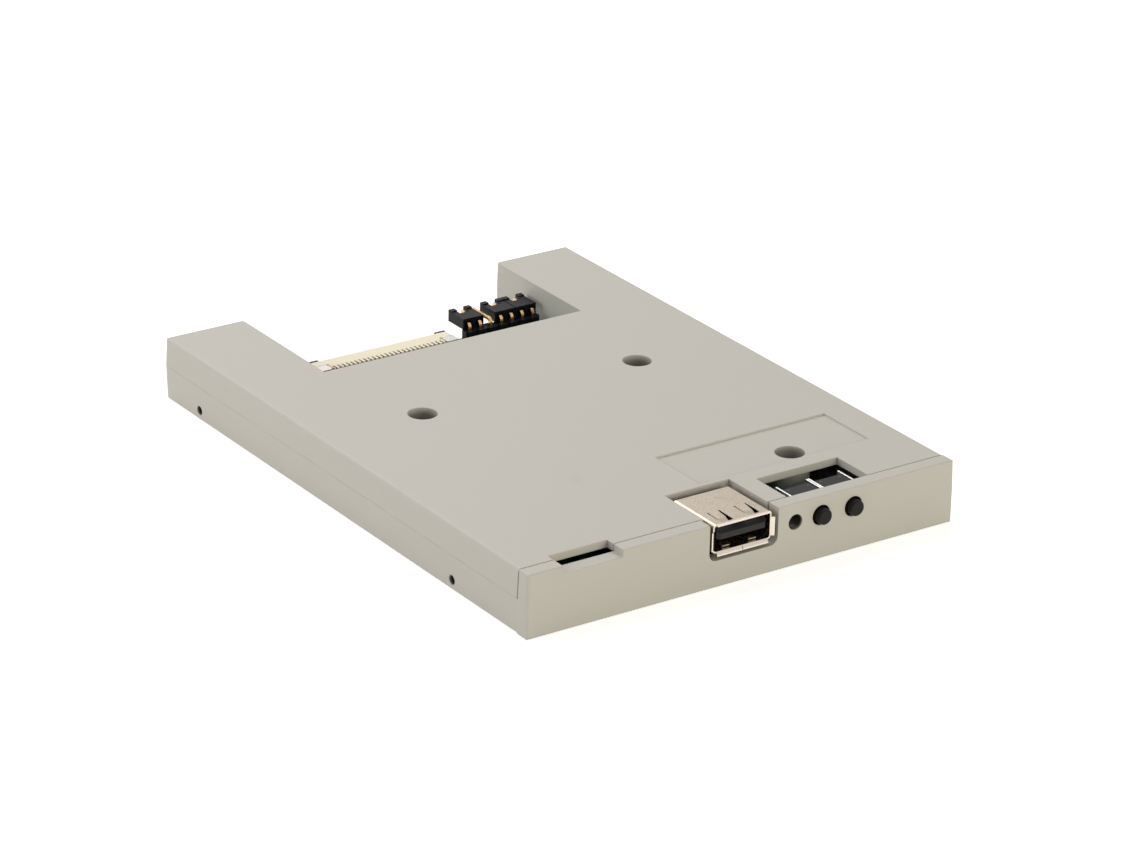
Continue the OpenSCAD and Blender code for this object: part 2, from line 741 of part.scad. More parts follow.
// Spring tongue of the shell: bent in towards the plug, its tip curled back
module spring_finger() {
  reach = spring_d - spring_slot;
  root_w = spring_w - 2 * spring_slit;
  intersection() {
    translate([-root_w / 2, 0, 0]) rotate([90, 0, 90]) linear_extrude(root_w) polygon([
      [usb_sheet, usb_sheet], [usb_sheet, 0], [0, 0], [-spring_knee_share * reach, -spring_sag],
      [-spring_heel_share * reach, -spring_dip], [-reach, -spring_lift], [-reach, usb_sheet - spring_lift],
      [-spring_heel_share * reach, usb_sheet - spring_dip],
      [-spring_knee_share * reach, usb_sheet - spring_sag], [0, usb_sheet]
    ]);
    translate([0, 0, -spring_dip - cut]) linear_extrude(spring_dip + usb_sheet + 2 * cut) polygon([
      [-root_w / 2, usb_sheet + cut], [-root_w / 2, 0], [-spring_tip_w / 2, -reach],
      [-spring_tip_w / 2, -reach - cut], [spring_tip_w / 2, -reach - cut], [spring_tip_w / 2, -reach],
      [root_w / 2, 0], [root_w / 2, usb_sheet + cut]
    ]);
  }
}

// Folded steel shell with flared lips, spring tongues and solder legs
module usb_shell() {
  lip_reach = usb_set - usb_tip;
  lip_plan = [[0, 0], [usb_sheet, 0], [usb_sheet + usb_flare, -lip_reach],
              [usb_flare, -lip_reach]];
  side_lip_h = usb_h - 2 * usb_corner_r - 0.1 * usb_h;
  low_lip_w = usb_w - 2 * usb_corner_r - usb_sheet;
  color(steel) translate([usb_x, front_y, usb_z]) {
    difference() {
      union() {
        translate([0, usb_set + usb_d - usb_set, 0]) rotate([90, 0, 0])
          linear_extrude(usb_d - usb_set) difference() {
            usb_outline(0);
            usb_outline(usb_sheet);
          }
        translate([usb_corner_r - usb_w / 2, usb_tip, usb_h / 2 - usb_sheet])
          cube([usb_w - 2 * usb_corner_r, usb_set, usb_sheet]);
      }
      for (side = [-1, 1], flip = [0, 1]) mirror([0, 0, flip])
        translate([side * spring_x - spring_w / 2, spring_y, usb_h / 2 - usb_sheet - cut])
          cube([spring_w, spring_d, usb_sheet + 2 * cut]);
    }
    for (side = [-1, 1], flip = [0, 1]) mirror([0, 0, flip])
      translate([side * spring_x, spring_y + spring_d, usb_h / 2 - usb_sheet]) spring_finger();
    // Flared lips at both sides and below, the lower one with a seam
    for (side = [0, 1]) mirror([side, 0, 0])
      translate([usb_w / 2 - usb_sheet, usb_set, -side_lip_h / 2 - 0.05 * usb_h])
        linear_extrude(side_lip_h) polygon(lip_plan);
    for (side = [0, 1]) mirror([side, 0, 0])
      translate([usb_sheet / 6, usb_set, usb_sheet - usb_h / 2]) rotate([0, 90, 0])
        linear_extrude(low_lip_w / 2) polygon(lip_plan);
    // Solder legs
    for (side = [-1, 1], place = leg_places)
      translate([side * (usb_w - usb_sheet) / 2 - usb_sheet / 2, place - leg_w / 2, tail_low - usb_z])
        cube([usb_sheet, leg_w, usb_z - tail_low]);
  }
}

// Contact tongue: a lead-in slope over its front face and a bevel at each side
module usb_tongue() {
  back = core_front + cut;
  intersection() {
    translate([-tongue_w / 2, 0, 0]) rotate([90, 0, 90]) linear_extrude(tongue_w) polygon([
      [tongue_front, 0], [back, 0], [back, tongue_t], [tongue_front + tongue_slope_d, tongue_t],
      [tongue_front, tongue_face_h]
    ]);
    translate([0, 0, -cut]) linear_extrude(tongue_t + 2 * cut) polygon([
      [-tongue_w / 2, back + cut], [-tongue_w / 2, tongue_front + tongue_bevel],
      [tongue_bevel - tongue_w / 2, tongue_front], [tongue_w / 2 - tongue_bevel, tongue_front],
      [tongue_w / 2, tongue_front + tongue_bevel], [tongue_w / 2, back + cut]
    ]);
  }
}

// Black insulator: contact tongue, core in the shell, rear block and foot on the board
module usb_insulator() {
  inner_w = usb_w - 2 * usb_sheet - 2 * fit_gap;
  inner_h = usb_h - 2 * usb_sheet - 2 * fit_gap;
  tongue_z = usb_top - usb_sheet - tongue_drop - tongue_t;
  rear = usb_tip + usb_d + fit_gap;
  color(black) translate([usb_x, front_y, 0]) difference() {
    union() {
      translate([0, 0, tongue_z]) usb_tongue();
      translate([-inner_w / 2 + usb_sheet, core_front, usb_z - inner_h / 2]) {
        cube([inner_w - 2 * usb_sheet, rear - core_front - fit_gap, inner_h]);
        cube([inner_w - 2 * usb_sheet, rear - core_front + cut, usb_h / 2 - block_drop + inner_h / 2]);
      }
      translate([-tongue_w / 2, rear, board_z])
        cube([tongue_w, block_d - fit_gap, usb_top - block_drop - board_z]);
      translate([-tongue_w / 2, leg_places[0] + leg_w, board_z])
        cube([tongue_w, rear - leg_places[0] - leg_w + cut, usb_low - fit_gap - board_z]);
    }
    for (x = strip_places)
      translate([x - strip_w / 2 - fit_gap / 2, core_front - cut, tongue_z - strip_t - fit_gap / 2])
        cube([strip_w + fit_gap, usb_d, strip_t + fit_gap / 2]);
  }
}

// Contacts: each bows down under the tongue, runs through the core and down behind it
module usb_contacts() {
  tongue_z = usb_top - usb_sheet - tongue_drop - tongue_t;
  tip_y = tongue_front + tongue_t / 2;
  bow_y = tip_y + strip_bow_run;
  root_y = core_front - fit_gap;
  run_y = usb_strip_y + strip_t / 2;
  color(gold) for (x = strip_places) translate([usb_x + x - strip_w / 2, front_y, 0]) {
    translate([0, 0, tongue_z]) rotate([90, 0, 90]) linear_extrude(strip_w) polygon([
      [run_y, 0], [root_y, 0], [bow_y, -strip_bow], [tip_y, -strip_t], [tip_y, -2 * strip_t],
      [bow_y, -strip_bow - strip_t], [root_y, -strip_t], [run_y, -strip_t]
    ]);
    translate([strip_w / 4, usb_strip_y - strip_t / 2, tail_low])
      cube([strip_w / 2, strip_t, tongue_z - tail_low]);
  }
}

// A button: flange in the switch, stem through the bezel, chamfered tip
module button(x) {
  back = switch_front + fit_gap / 2 + flange_t;
  root_r = button_r;
  tip_r = button_r - stem_taper;
  color(black) translate([x, front_y + back, button_z]) rotate([90, 0, 0]) {
    cylinder(h = flange_t, r = flange_r);
    cylinder(h = back, r = root_r);
    translate([0, 0, back]) cylinder(h = button_out - stem_chamfer, r1 = root_r, r2 = tip_r);
    translate([0, 0, back + button_out - stem_chamfer])
      cylinder(h = stem_chamfer, r1 = tip_r, r2 = tip_r - stem_chamfer);
  }
}

// Moulded switch body with the cup for dome and flange
module switch_base(x) {
  color(black) translate([x, from_front(switch_front), button_z]) difference() {
    translate([-switch_w / 2, 0, -switch_h / 2]) cube([switch_w, switch_d, switch_h]);
    rotate([-90, 0, 0]) translate([0, 0, -cut]) cylinder(h = switch_cup_d + cut, r = switch_cup_r);
  }
}

// Steel bracket: front plate with a round hole, two side wings and four legs
module switch_bracket(x) {
  plate_y = switch_front - fit_gap / 2 - bracket_t;
  wing_d = bracket_rear - plate_y;
  color(steel) translate([x, front_y, 0]) difference() {
    union() {
      translate([-bracket_w / 2, plate_y, button_z - bracket_top]) cube([bracket_w, bracket_t, 2 * bracket_top]);
      for (side = [-1, 1]) translate([side * (bracket_w - bracket_t) / 2 - bracket_t / 2, 0, 0]) {
        translate([0, plate_y, board_z]) cube([bracket_t, wing_d, button_z + bracket_top - board_z]);
        for (place = bracket_leg_places) translate([0, place, tail_low])
          cube([bracket_t, bracket_leg_w, board_z - tail_low + bracket_t]);
      }
    }
    translate([0, plate_y - cut, button_z]) rotate([-90, 0, 0])
      cylinder(h = bracket_t + 2 * cut, r = button_r + 2 * fit_gap);
  }
}

// Snap dome: a thin spherical cap on the floor of the cup
module switch_dome(x) {
  ball_r = (dome_r * dome_r + dome_h * dome_h) / (2 * dome_h);
  color(steel) translate([x, from_front(switch_front + switch_cup_d), button_z]) rotate([90, 0, 0])
    rotate_extrude() intersection() {
      translate([0, dome_h - ball_r]) difference() {
        circle(ball_r, $fn = 96);
        circle(ball_r - dome_t, $fn = 96);
      }
      square([dome_r, dome_h]);
    }
}

module switch_terminals() {
  color(steel) for (x = [button_x, button_x + button_pitch], side = [-1, 1])
    translate([x + side * terminal_x - terminal_w / 2, from_front(switch_front + switch_d), tail_low])
      cube([terminal_w, terminal_t, button_z - tail_low + switch_h / 4]);
}

// Round lamp with a domed tip and a flange
module status_led() {
  color([0.55, 0.6, 0.55, 0.6]) translate([lamp_x, from_front(lamp_tip + lamp_r), button_z]) {
    rotate([-90, 0, 0]) {
      cylinder(h = lamp_d, r = lamp_r);
      translate([0, 0, lamp_d]) cylinder(h = lamp_flange_t, r = lamp_flange_r);
    }
    intersection() {
      sphere(lamp_r);
      translate([-lamp_r, -lamp_r, -lamp_r]) cube([2 * lamp_r, lamp_r, 2 * lamp_r]);
    }
  }
}

module led_leads() {
  back = lamp_tip + lamp_r + lamp_d + lamp_flange_t;
  color(steel) for (side = [-1, 1]) translate([lamp_x + side * lead_x - lead_t / 2, front_y, 0]) {
    translate([0, back, button_z - lead_t / 2]) cube([lead_t, lead_run, lead_t]);
    translate([0, back + lead_run - lead_t, tail_low]) cube([lead_t, lead_t, button_z - tail_low]);
  }
}

// Cream housing with low end ledges, contact slits at the front and a mouth at the rear
module ribbon_housing() {
  color(cream) translate([ribbon_x, front_y, board_z]) difference() {
    translate([-ribbon_w / 2, ribbon_front, 0]) cube([ribbon_w, ribbon_d, ribbon_h]);
    for (side = [-1, 1]) translate([side * (ribbon_w - ledge_w) / 2, ribbon_front, ledge_h])
      translate([-ledge_w / 2 - cut, -cut, 0]) cube([ledge_w + 2 * cut, ledge_depth + cut, ribbon_h]);
    for (i = [0:contact_count - 1])
      translate([i * ribbon_pitch - ribbon_span / 2 - slit_w / 2, ribbon_front - cut, -cut])
        cube([slit_w, slit_d + cut, ribbon_h + 2 * cut]);
    translate([-mouth_w / 2, ribbon_rear - mouth_d, mouth_z]) cube([mouth_w, mouth_d + cut, mouth_h]);
  }
}

// Sliding lock: a blade in the mouth, a bar behind it and an ear at each end
module ribbon_lock() {
  blade_w = mouth_w - 4 * fit_gap;
  bar_y = ribbon_rear + fit_gap;
  color(black) translate([ribbon_x, front_y, board_z]) {
    translate([-blade_w / 2, ribbon_rear - mouth_d * 0.8, mouth_z + fit_gap])
      cube([blade_w, mouth_d * 0.8 + fit_gap + lock_t / 2, lock_blade_t]);
    translate([-ribbon_w / 2, bar_y, fit_gap]) cube([ribbon_w, lock_t, lock_bar_h]);
    for (side = [-1, 1]) translate([side * (ribbon_w - ear_w) / 2 - ear_w / 2, bar_y, fit_gap])
      cube([ear_w, lock_t, ribbon_h - fit_gap]);
  }
}

module ribbon_contacts() {
  color(gold) translate([ribbon_x, front_y, board_z]) for (i = [0:contact_count - 1])
    translate([i * ribbon_pitch - ribbon_span / 2 - contact_t / 2, 0, 0]) {
      translate([0, ribbon_front - contact_foot, 0]) cube([contact_t, contact_foot + slit_d - fit_gap, foot_t]);
      translate([0, ribbon_front + fit_gap, 0])
        cube([contact_t, slit_d - 2 * fit_gap, ribbon_h - slit_drop]);
    }
}

// Steel tabs over the housing's end ledges, each with a foot on the board
module ribbon_solder_tabs() {
  color(steel) for (side = [0, 1]) translate([ribbon_x, from_front(ribbon_front), board_z])
    mirror([side, 0, 0]) translate([ribbon_w / 2, fit_gap, 0]) {
      translate([fit_gap - ledge_w, 0, ledge_h]) cube([ledge_w - fit_gap + tab_t, tab_d, tab_t]);
      cube([tab_t, tab_d, ledge_h]);
      cube([tab_foot, tab_d, tab_t]);
    }
}

// Header base: a row of eight sided cells, one for each pin
module header_base() {
  half = pin_pitch / 2;
  depth = header_d / 2;
  waist = depth - header_chamfer;
  color(black) difference() {
    translate([pin_x, from_front(pin_y), board_z]) linear_extrude(header_h)
      for (i = [0:pin_count - 1]) translate([i * pin_pitch, 0])
        polygon([
          [-half, -waist], [header_chamfer - half, -depth], [half - header_chamfer, -depth], [half, -waist],
          [half, waist], [half - header_chamfer, depth], [header_chamfer - half, depth], [-half, waist]
        ]);
    for (i = [0:pin_count - 1]) translate([pin_x + i * pin_pitch, from_front(pin_y), board_z])
      cube([pin_t, pin_t, 4 * header_h], center = true);
  }
}

// Bent square pins: up through the base, round a quarter turn, then flat to the rear
module header_pins() {
  half = pin_t / 2;
  turn_r = bend_r + half;
  color(gold) for (i = [0:pin_count - 1]) translate([pin_x + i * pin_pitch, from_front(pin_y), 0]) {
    translate([-half, -half, tail_low]) cube([pin_t, pin_t, run_z - turn_r - tail_low]);
    translate([0, turn_r, run_z - turn_r]) rotate([0, -90, 0]) rotate_extrude(angle = -90)
      translate([turn_r, 0]) square(pin_t, center = true);
    translate([-half, turn_r, run_z - half]) cube([pin_t, pin_tip_y - pin_y - turn_r, pin_t]);
  }
}

// Middle of the cap that starts on pin i
function cap_x(i) = pin_x + (i + 0.5) * pin_pitch;

// Jumper cap: a wall with two pin holes in front of the clip pocket, two ears at the rear
module jumper_cap(i) {
  color(black) translate([cap_x(i), from_front(cap_y), run_z]) difference() {
    union() {
      translate([-cap_w / 2, 0, -cap_h / 2]) cube([cap_w, cap_d - cap_notch_d / 2, cap_h]);
      for (side = [-1, 1]) translate([side * (cap_w - cap_ear_w) / 2 - cap_ear_w / 2, 0, -cap_h / 2]) {
        cube([cap_ear_w, cap_d, cap_h]);
        translate([0, cap_d - cap_notch_d / 2, 0]) cube([cap_ear_w, cap_notch_d / 2, cap_h + cap_ear_rise]);
      }
    }
    translate([-cap_pocket_w / 2, cap_wall_d, -cap_pocket_h / 2])
      cube([cap_pocket_w, cap_d + cut, cap_pocket_h]);
    for (side = [-1, 1]) translate([side * pin_pitch / 2, 0, 0]) {
      cube([cap_hole_w, 2 * cap_wall_d + cut, cap_hole_w], center = true);
      cube([cap_funnel_w, 2 * cap_funnel_d, cap_funnel_w], center = true);
    }
    translate([cap_ear_w - cap_w / 2, cap_d - cap_notch_d, 0])
      cube([cap_w - 2 * cap_ear_w, cap_notch_d + cut, cap_h]);
  }
}

// Brass clip in a cap: an upper and a lower leaf and a web between the two pins
module jumper_clip(i) {
  leaf_w = cap_pocket_w - 4 * fit_gap;
  leaf_y = cap_wall_d + fit_gap;
  leaf_d = cap_d - cap_notch_d / 2 - leaf_y;
  inner = pin_t / 2 + clip_gap;
  color(gold) translate([cap_x(i), from_front(cap_y) + leaf_y, run_z]) {
    for (side = [0, 1]) mirror([0, 0, side]) translate([-leaf_w / 2, 0, inner]) cube([leaf_w, leaf_d, clip_t]);
    translate([-clip_t / 2, leaf_d / 3, -inner - clip_t / 2]) cube([clip_t, leaf_d / 3, 2 * inner + clip_t]);
  }
}

// Chip body with bevelled upper edges
module chip_body(w, l, h) {
  bevel = chip_chamfer;
  intersection() {
    translate([-w / 2, -l / 2, 0]) cube([w, l, h]);
    rotate([90, 0, 0]) linear_extrude(l + cut, center = true)
      polygon([[-w / 2, 0], [w / 2, 0], [w / 2, h - bevel], [w / 2 - bevel / 3, h], [bevel / 3 - w / 2, h],
               [-w / 2, h - bevel]]);
  }
}

// Gull wing lead, rooted at the origin and running along +X
module gull_lead(w, body_half) {
  knee = lead_reach - lead_foot;
  color(steel) translate([body_half, w / 2, 0]) rotate([90, 0, 0]) linear_extrude(w)
    polygon([
      [0, chip_t / 2], [knee / 2, chip_t / 2], [knee, lead_foil], [lead_reach, lead_foil], [lead_reach, 0],
      [knee - lead_foil, 0], [knee / 2 - lead_foil, chip_t / 2 - lead_foil], [0, chip_t / 2 - lead_foil]
    ]);
}

module controller_chip() {
  color(black) translate(on_board(chip_share) + [0, 0, chip_lift]) chip_body(chip_w, chip_w, chip_t);
}

module controller_leads() {
  translate(on_board(chip_share)) for (turn = [0:3], i = [0:qfp_leads - 1])
    rotate([0, 0, 90 * turn]) translate([0, (i - (qfp_leads - 1) / 2) * qfp_pitch, 0])
      gull_lead(lead_w, chip_w / 2);
}

module buffer_chips() {
  color(black) for (share = so_shares) translate(on_board(share) + [0, 0, chip_lift])
    rotate([0, 0, 90]) chip_body(so_w, so_l, chip_t);
}

module buffer_leads() {
  for (share = so_shares) translate(on_board(share)) rotate([0, 0, 90])
    for (turn = [0, 1], i = [0:so_leads - 1]) rotate([0, 0, 180 * turn])
      translate([0, (i - (so_leads - 1) / 2) * so_pitch, 0]) gull_lead(so_lead_w, so_w / 2);
}

// Long round-ended can with a rolled rim at its foot
module crystal_can() {
  half = (can_l - can_w) / 2;
  color(steel) translate(on_board(can_share)) {
    for (step = [[0, can_rim_t, can_rim], [0, can_h, 0]]) linear_extrude(step[1]) {
      square([2 * half, can_w + 2 * step[2]], center = true);
      for (side = [-1, 1]) translate([side * half, 0]) circle(can_w / 2 + step[2]);
    }
  }
}

module voltage_regulator() {
  color(black) translate(on_board(reg_share)) {
    translate([0, 0, chip_lift]) chip_body(reg_w, reg_d, reg_h);
    translate([-reg_tab_w / 2, reg_d / 2 - fit_gap, 0]) cube([reg_tab_w, reg_tab_d, reg_tab_t]);
    for (i = [-1, 0, 1]) translate([i * reg_leg_pitch - reg_leg_w / 2, -reg_d / 2 - reg_tab_d + fit_gap, 0])
      cube([reg_leg_w, reg_tab_d, reg_tab_t]);
  }
}

module smoothing_capacitors() {
  color(steel) for (share = cap_can_shares) translate(on_board(share)) {
    translate([-cap_can_base / 2, -cap_can_base / 2, 0]) cube([cap_can_base, cap_can_base, cap_can_base_h]);
    cylinder(h = cap_can_h, r = cap_can_r);
  }
}

module chip_resistors() {
  color(black) for (i = [0:res_count - 1]) translate(on_board(res_share) + [i * res_pitch, 0, 0])
    translate([-res_w / 2, -res_l / 2, 0]) cube([res_w, res_l, res_h]);
}

bottom_case();
top_cover();
case_screws();
main_board();
usb_shell();
usb_insulator();
usb_contacts();
button(button_x);  // left_button
button(button_x + button_pitch);  // right_button
switch_base(button_x);  // left_switch_base
switch_base(button_x + button_pitch);  // right_switch_base
switch_bracket(button_x);  // left_switch_bracket
switch_bracket(button_x + button_pitch);  // right_switch_bracket
switch_dome(button_x);  // left_switch_dome
switch_dome(button_x + button_pitch);  // right_switch_dome
switch_terminals();
status_led();
led_leads();
ribbon_housing();
ribbon_lock();
ribbon_contacts();
ribbon_solder_tabs();
header_base();
header_pins();
jumper_cap(cap_starts[0]);  // left_jumper_cap
jumper_cap(cap_starts[1]);  // middle_jumper_cap
jumper_cap(cap_starts[2]);  // right_jumper_cap
jumper_clip(cap_starts[0]);  // left_jumper_clip
jumper_clip(cap_starts[1]);  // middle_jumper_clip
jumper_clip(cap_starts[2]);  // right_jumper_clip
controller_chip();
controller_leads();
buffer_chips();
buffer_leads();
crystal_can();
voltage_regulator();
smoothing_capacitors();
chip_resistors();
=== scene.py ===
"""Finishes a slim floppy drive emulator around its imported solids, and sets it in a plain studio."""
import math

import bmesh
import bpy
from bpy.props import FloatProperty, FloatVectorProperty, PointerProperty
from mathutils import Matrix, Vector


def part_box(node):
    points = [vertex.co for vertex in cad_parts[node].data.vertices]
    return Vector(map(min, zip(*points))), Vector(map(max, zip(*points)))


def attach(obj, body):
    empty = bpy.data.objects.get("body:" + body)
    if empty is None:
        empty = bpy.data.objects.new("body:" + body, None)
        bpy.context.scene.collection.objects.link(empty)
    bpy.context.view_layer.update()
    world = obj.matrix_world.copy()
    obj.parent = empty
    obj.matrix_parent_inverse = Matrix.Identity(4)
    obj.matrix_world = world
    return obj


bl_info = {
    "name": "Floppy Drive Emulator",
    "version": (1, 0, 0),
    "blender": (4, 5, 0),
    "location": "3D View > Sidebar > Emulator",
    "description": "Finishes the drive emulator's case, board and connectors and sets the studio",
    "category": "Object",
}

MM = 0.001  # in metres, Blender's own unit
ROUND_CORNERS = 20  # of a small round piece's outline

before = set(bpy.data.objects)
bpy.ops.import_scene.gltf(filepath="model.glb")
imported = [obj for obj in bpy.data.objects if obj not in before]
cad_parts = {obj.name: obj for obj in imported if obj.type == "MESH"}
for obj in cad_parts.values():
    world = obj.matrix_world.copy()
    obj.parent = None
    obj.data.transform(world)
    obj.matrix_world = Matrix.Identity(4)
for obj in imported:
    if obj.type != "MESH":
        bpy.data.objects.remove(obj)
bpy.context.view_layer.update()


# Finishes


class Amount:
    """A number that varies over a surface. Python's own sums on it add Math nodes."""

    def __init__(self, finish, socket):
        self.finish = finish
        self.socket = socket

    def __add__(self, other):
        return self.finish.math("ADD", self, other)

    def __sub__(self, other):
        return self.finish.math("SUBTRACT", self, other)

    def __rsub__(self, other):
        return self.finish.math("SUBTRACT", other, self)

    def __mul__(self, other):
        return self.finish.math("MULTIPLY", self, other)

    __radd__ = __add__
    __rmul__ = __mul__


class Finish:
    """One material or sky in the making: nodes go in through node(), sums through Amount."""

    def __init__(self, name, sky=False):
        self.material = (bpy.data.worlds if sky else bpy.data.materials).new(name)
        self.material.use_nodes = True
        self.nodes = self.material.node_tree.nodes
        self.links = self.material.node_tree.links
        self.nodes.clear()
        self.place = None if sky else self.node("TexCoord").outputs["Object"]

    def node(self, kind, settings=None, sockets=None):
        """Adds a node, makes its settings, then fills its sockets with values or links."""
        node = self.nodes.new("ShaderNode" + kind)
        for name, value in (settings or {}).items():
            setattr(node, name, value)
        for name, value in (sockets or {}).items():
            self.fill(node.inputs[name], value)
        return node

    def fill(self, socket, value):
        """Puts a value or a link into a socket."""
        if isinstance(value, Amount):
            value = value.socket
        if isinstance(value, bpy.types.NodeSocket):
            self.links.new(value, socket)
        elif socket.type == "RGBA" and len(value) == 3:
            socket.default_value = (*value, 1)
        else:
            socket.default_value = value

    def math(self, operation, *values):
        """One Math node on numbers or amounts."""
        node = self.node("Math", {"operation": operation}, dict(enumerate(values)))
        return Amount(self, node.outputs[0])

    def above(self, value, threshold):
        """One where a value is over a threshold, else nothing."""
        return self.math("GREATER_THAN", value, threshold)

    def clear_of(self, value, low, high):
        """A soft step: nothing at low, one at high, smooth between."""
        node = self.node(
            "MapRange",
            {"interpolation_type": "SMOOTHSTEP"},
            {"Value": value, "From Min": low, "From Max": high},
        )
        return Amount(self, node.outputs["Result"])

    def stretched(self, scale, turn=(0, 0, 0)):
        """The surface's own place, stretched, for streaks."""
        node = self.node("Mapping", None, {"Vector": self.place, "Scale": scale, "Rotation": turn})
        return node.outputs[0]

    def noise(self, size, detail=2, place=None, roughness=0.5):
        """Cloudy noise whose blotches are about size metres across."""
        place = place or self.place
        sockets = {"Vector": place, "Scale": 1 / size, "Detail": detail, "Roughness": roughness}
        return Amount(self, self.node("TexNoise", None, sockets).outputs["Fac"])

    def swing(self, size, detail=2, place=None, roughness=0.5):
        """The same noise around nothing, from about minus a half to a half."""
        return self.noise(size, detail, place, roughness) - 0.5

    def cells(self, size, output="Distance", metric="EUCLIDEAN"):
        """Cells about size metres apart: the distance to their middles, or a colour for each."""
        node = self.node("TexVoronoi", {"distance": metric}, {"Vector": self.place, "Scale": 1 / size})
        return Amount(self, node.outputs[output])

    def specks(self, spacing, core, rim, rarity):
        """Dust: one in a speck, fading from core to rim, which are shares of the spacing."""
        inside = 1 - self.clear_of(self.cells(spacing), core, rim)
        return inside * self.above(self.noise(spacing, detail=0), rarity)

    def lanes(self, across, spacing):
        """Lanes side by side along an axis: one on a lane, nothing in the gap after it."""
        half = spacing / 2
        return self.clear_of(self.math("PINGPONG", across, half) * (1 / half), low=0.45, high=0.55)

    def axes(self):
        """The surface's own place as three amounts, in metres."""
        node = self.node("SeparateXYZ", None, {"Vector": self.place})
        return [Amount(self, socket) for socket in node.outputs]

    def within(self, value, low, high, soft):
        """One between two values, nothing outside them, softened at both ends."""
        return self.clear_of(value, low - soft, low) * (1 - self.clear_of(value, high, high + soft))

    def spot(self, across, along, middle, radius, soft):
        """One inside a circle in the plane of two axes, nothing outside it."""
        from_side, from_end = across - middle[0], along - middle[1]
        reach = self.math("SQRT", from_side * from_side + from_end * from_end)
        return 1 - self.clear_of(reach, radius - soft, radius)

    def spots(self, across, along, middles, radius, soft):
        """One inside any of several like circles that stand apart."""
        total = 0
        for middle in middles:
            total = total + self.spot(across, along, middle, radius, soft)
        return total

    def seen_directly(self):
        """One for camera, mirror and see-through rays, nothing for the light on the object."""
        rays = self.node("LightPath").outputs
        camera, mirror, through = [
            Amount(self, rays["Is " + kind + " Ray"]) for kind in ("Camera", "Glossy", "Transmission")
        ]
        return self.math("MAXIMUM", self.math("MAXIMUM", camera, mirror), through)

    def shade(self, color, tone):
        """A colour, plain or linked, made lighter or darker by an amount around one."""
        plain = color if isinstance(color, bpy.types.NodeSocket) else tuple(color)[:3]
        return self.node("VectorMath", {"operation": "SCALE"}, {0: plain, "Scale": tone}).outputs[0]

    def blend(self, share, first, second):
        """A colour between two, by a share from nothing to one."""
        node = self.node("Mix", {"data_type": "RGBA"}, {0: share, 6: first, 7: second})
        return node.outputs[2]

    def rounded(self, radius):
        """Normals that round every sharp edge by a radius."""
        return self.node("Bevel", {"samples": 8}, {"Radius": radius}).outputs[0]

    def edge_highlight_mask(self, rounded):
        """Up to one along sharp edges, where rounded normals leave the plain ones: the mask of a painted
        highlight.
        """
        plain = self.node("NewGeometry").outputs["Normal"]
        meeting = self.node("VectorMath", {"operation": "DOT_PRODUCT"}, {0: rounded, 1: plain})
        return self.clear_of(1 - Amount(self, meeting.outputs["Value"]), low=0.005, high=0.12)

    def relief(self, height, depth, normal=None):
        """A bump from a height, depth metres deep, over normals given or plain ones."""
        sockets = {"Height": height, "Distance": depth}
        if normal is not None:
            sockets["Normal"] = normal
        return self.node("Bump", None, sockets).outputs[0]

    def done(self, **sockets):
        """Closes the material with one Principled shader; underscores stand for spaces."""
        filled = {name.replace("_", " "): value for name, value in sockets.items()}
        shader = self.node("BsdfPrincipled", None, filled)
        self.node("OutputMaterial", None, {"Surface": shader.outputs[0]})
        return self.material


def moulded_plastic(name, color, look, roughness, gloss=0.15):
    """Small black mouldings: slow drift of tone, fine grain, dust, rounded edges."""
    finish = Finish(name)
    drift = finish.swing(look.drift_size, detail=3)
    grain = finish.swing(look.grain_size, detail=3, roughness=0.6)
    speck = finish.specks(look.dust_spacing, core=0.01, rim=0.03, rarity=0.55)
    tone = 1 + drift * look.mottle + grain * look.mottle + speck * look.dust_lift
    return finish.done(
        Base_Color=finish.shade(color, tone),
        Roughness=roughness + grain * look.grain_roughness + drift * look.drift_roughness,
        Normal=finish.relief(grain, look.grain_depth, finish.rounded(look.edge_radius)),
        Specular_IOR_Level=gloss,
    )


def slit_plastic(name, look, roughness, gloss, low, high):
    """The ribbon connector's cream plastic, whose contact slits get painted shade."""
    finish = Finish(name)
    y, z = finish.axes()[1:]
    drift = finish.swing(look.drift_size, detail=3)
    grain = finish.swing(look.grain_size, detail=3, roughness=0.6)
    fade_start, fade_end = [low.y + look.slit_depth * share for share in (0.5, 0.75)]
    crisp = 0.02 * MM
    # Painted shade: the front of the slits is darkened below a lit rim.
    in_slit = 1 - finish.clear_of(y, fade_start, fade_end)
    under_rim = 1 - finish.clear_of(z, high.z - look.slit_rim, high.z - crisp)
    tone = 1 + drift * look.cream_mottle + grain * look.cream_mottle
    return finish.done(
        Base_Color=finish.shade(look.cream_color, tone * (1 - in_slit * under_rim * look.slit_shade)),
        Roughness=roughness + grain * look.grain_roughness + drift * look.drift_roughness,
        Normal=finish.relief(grain, look.grain_depth, finish.rounded(look.edge_radius)),
        Specular_IOR_Level=gloss,
    )


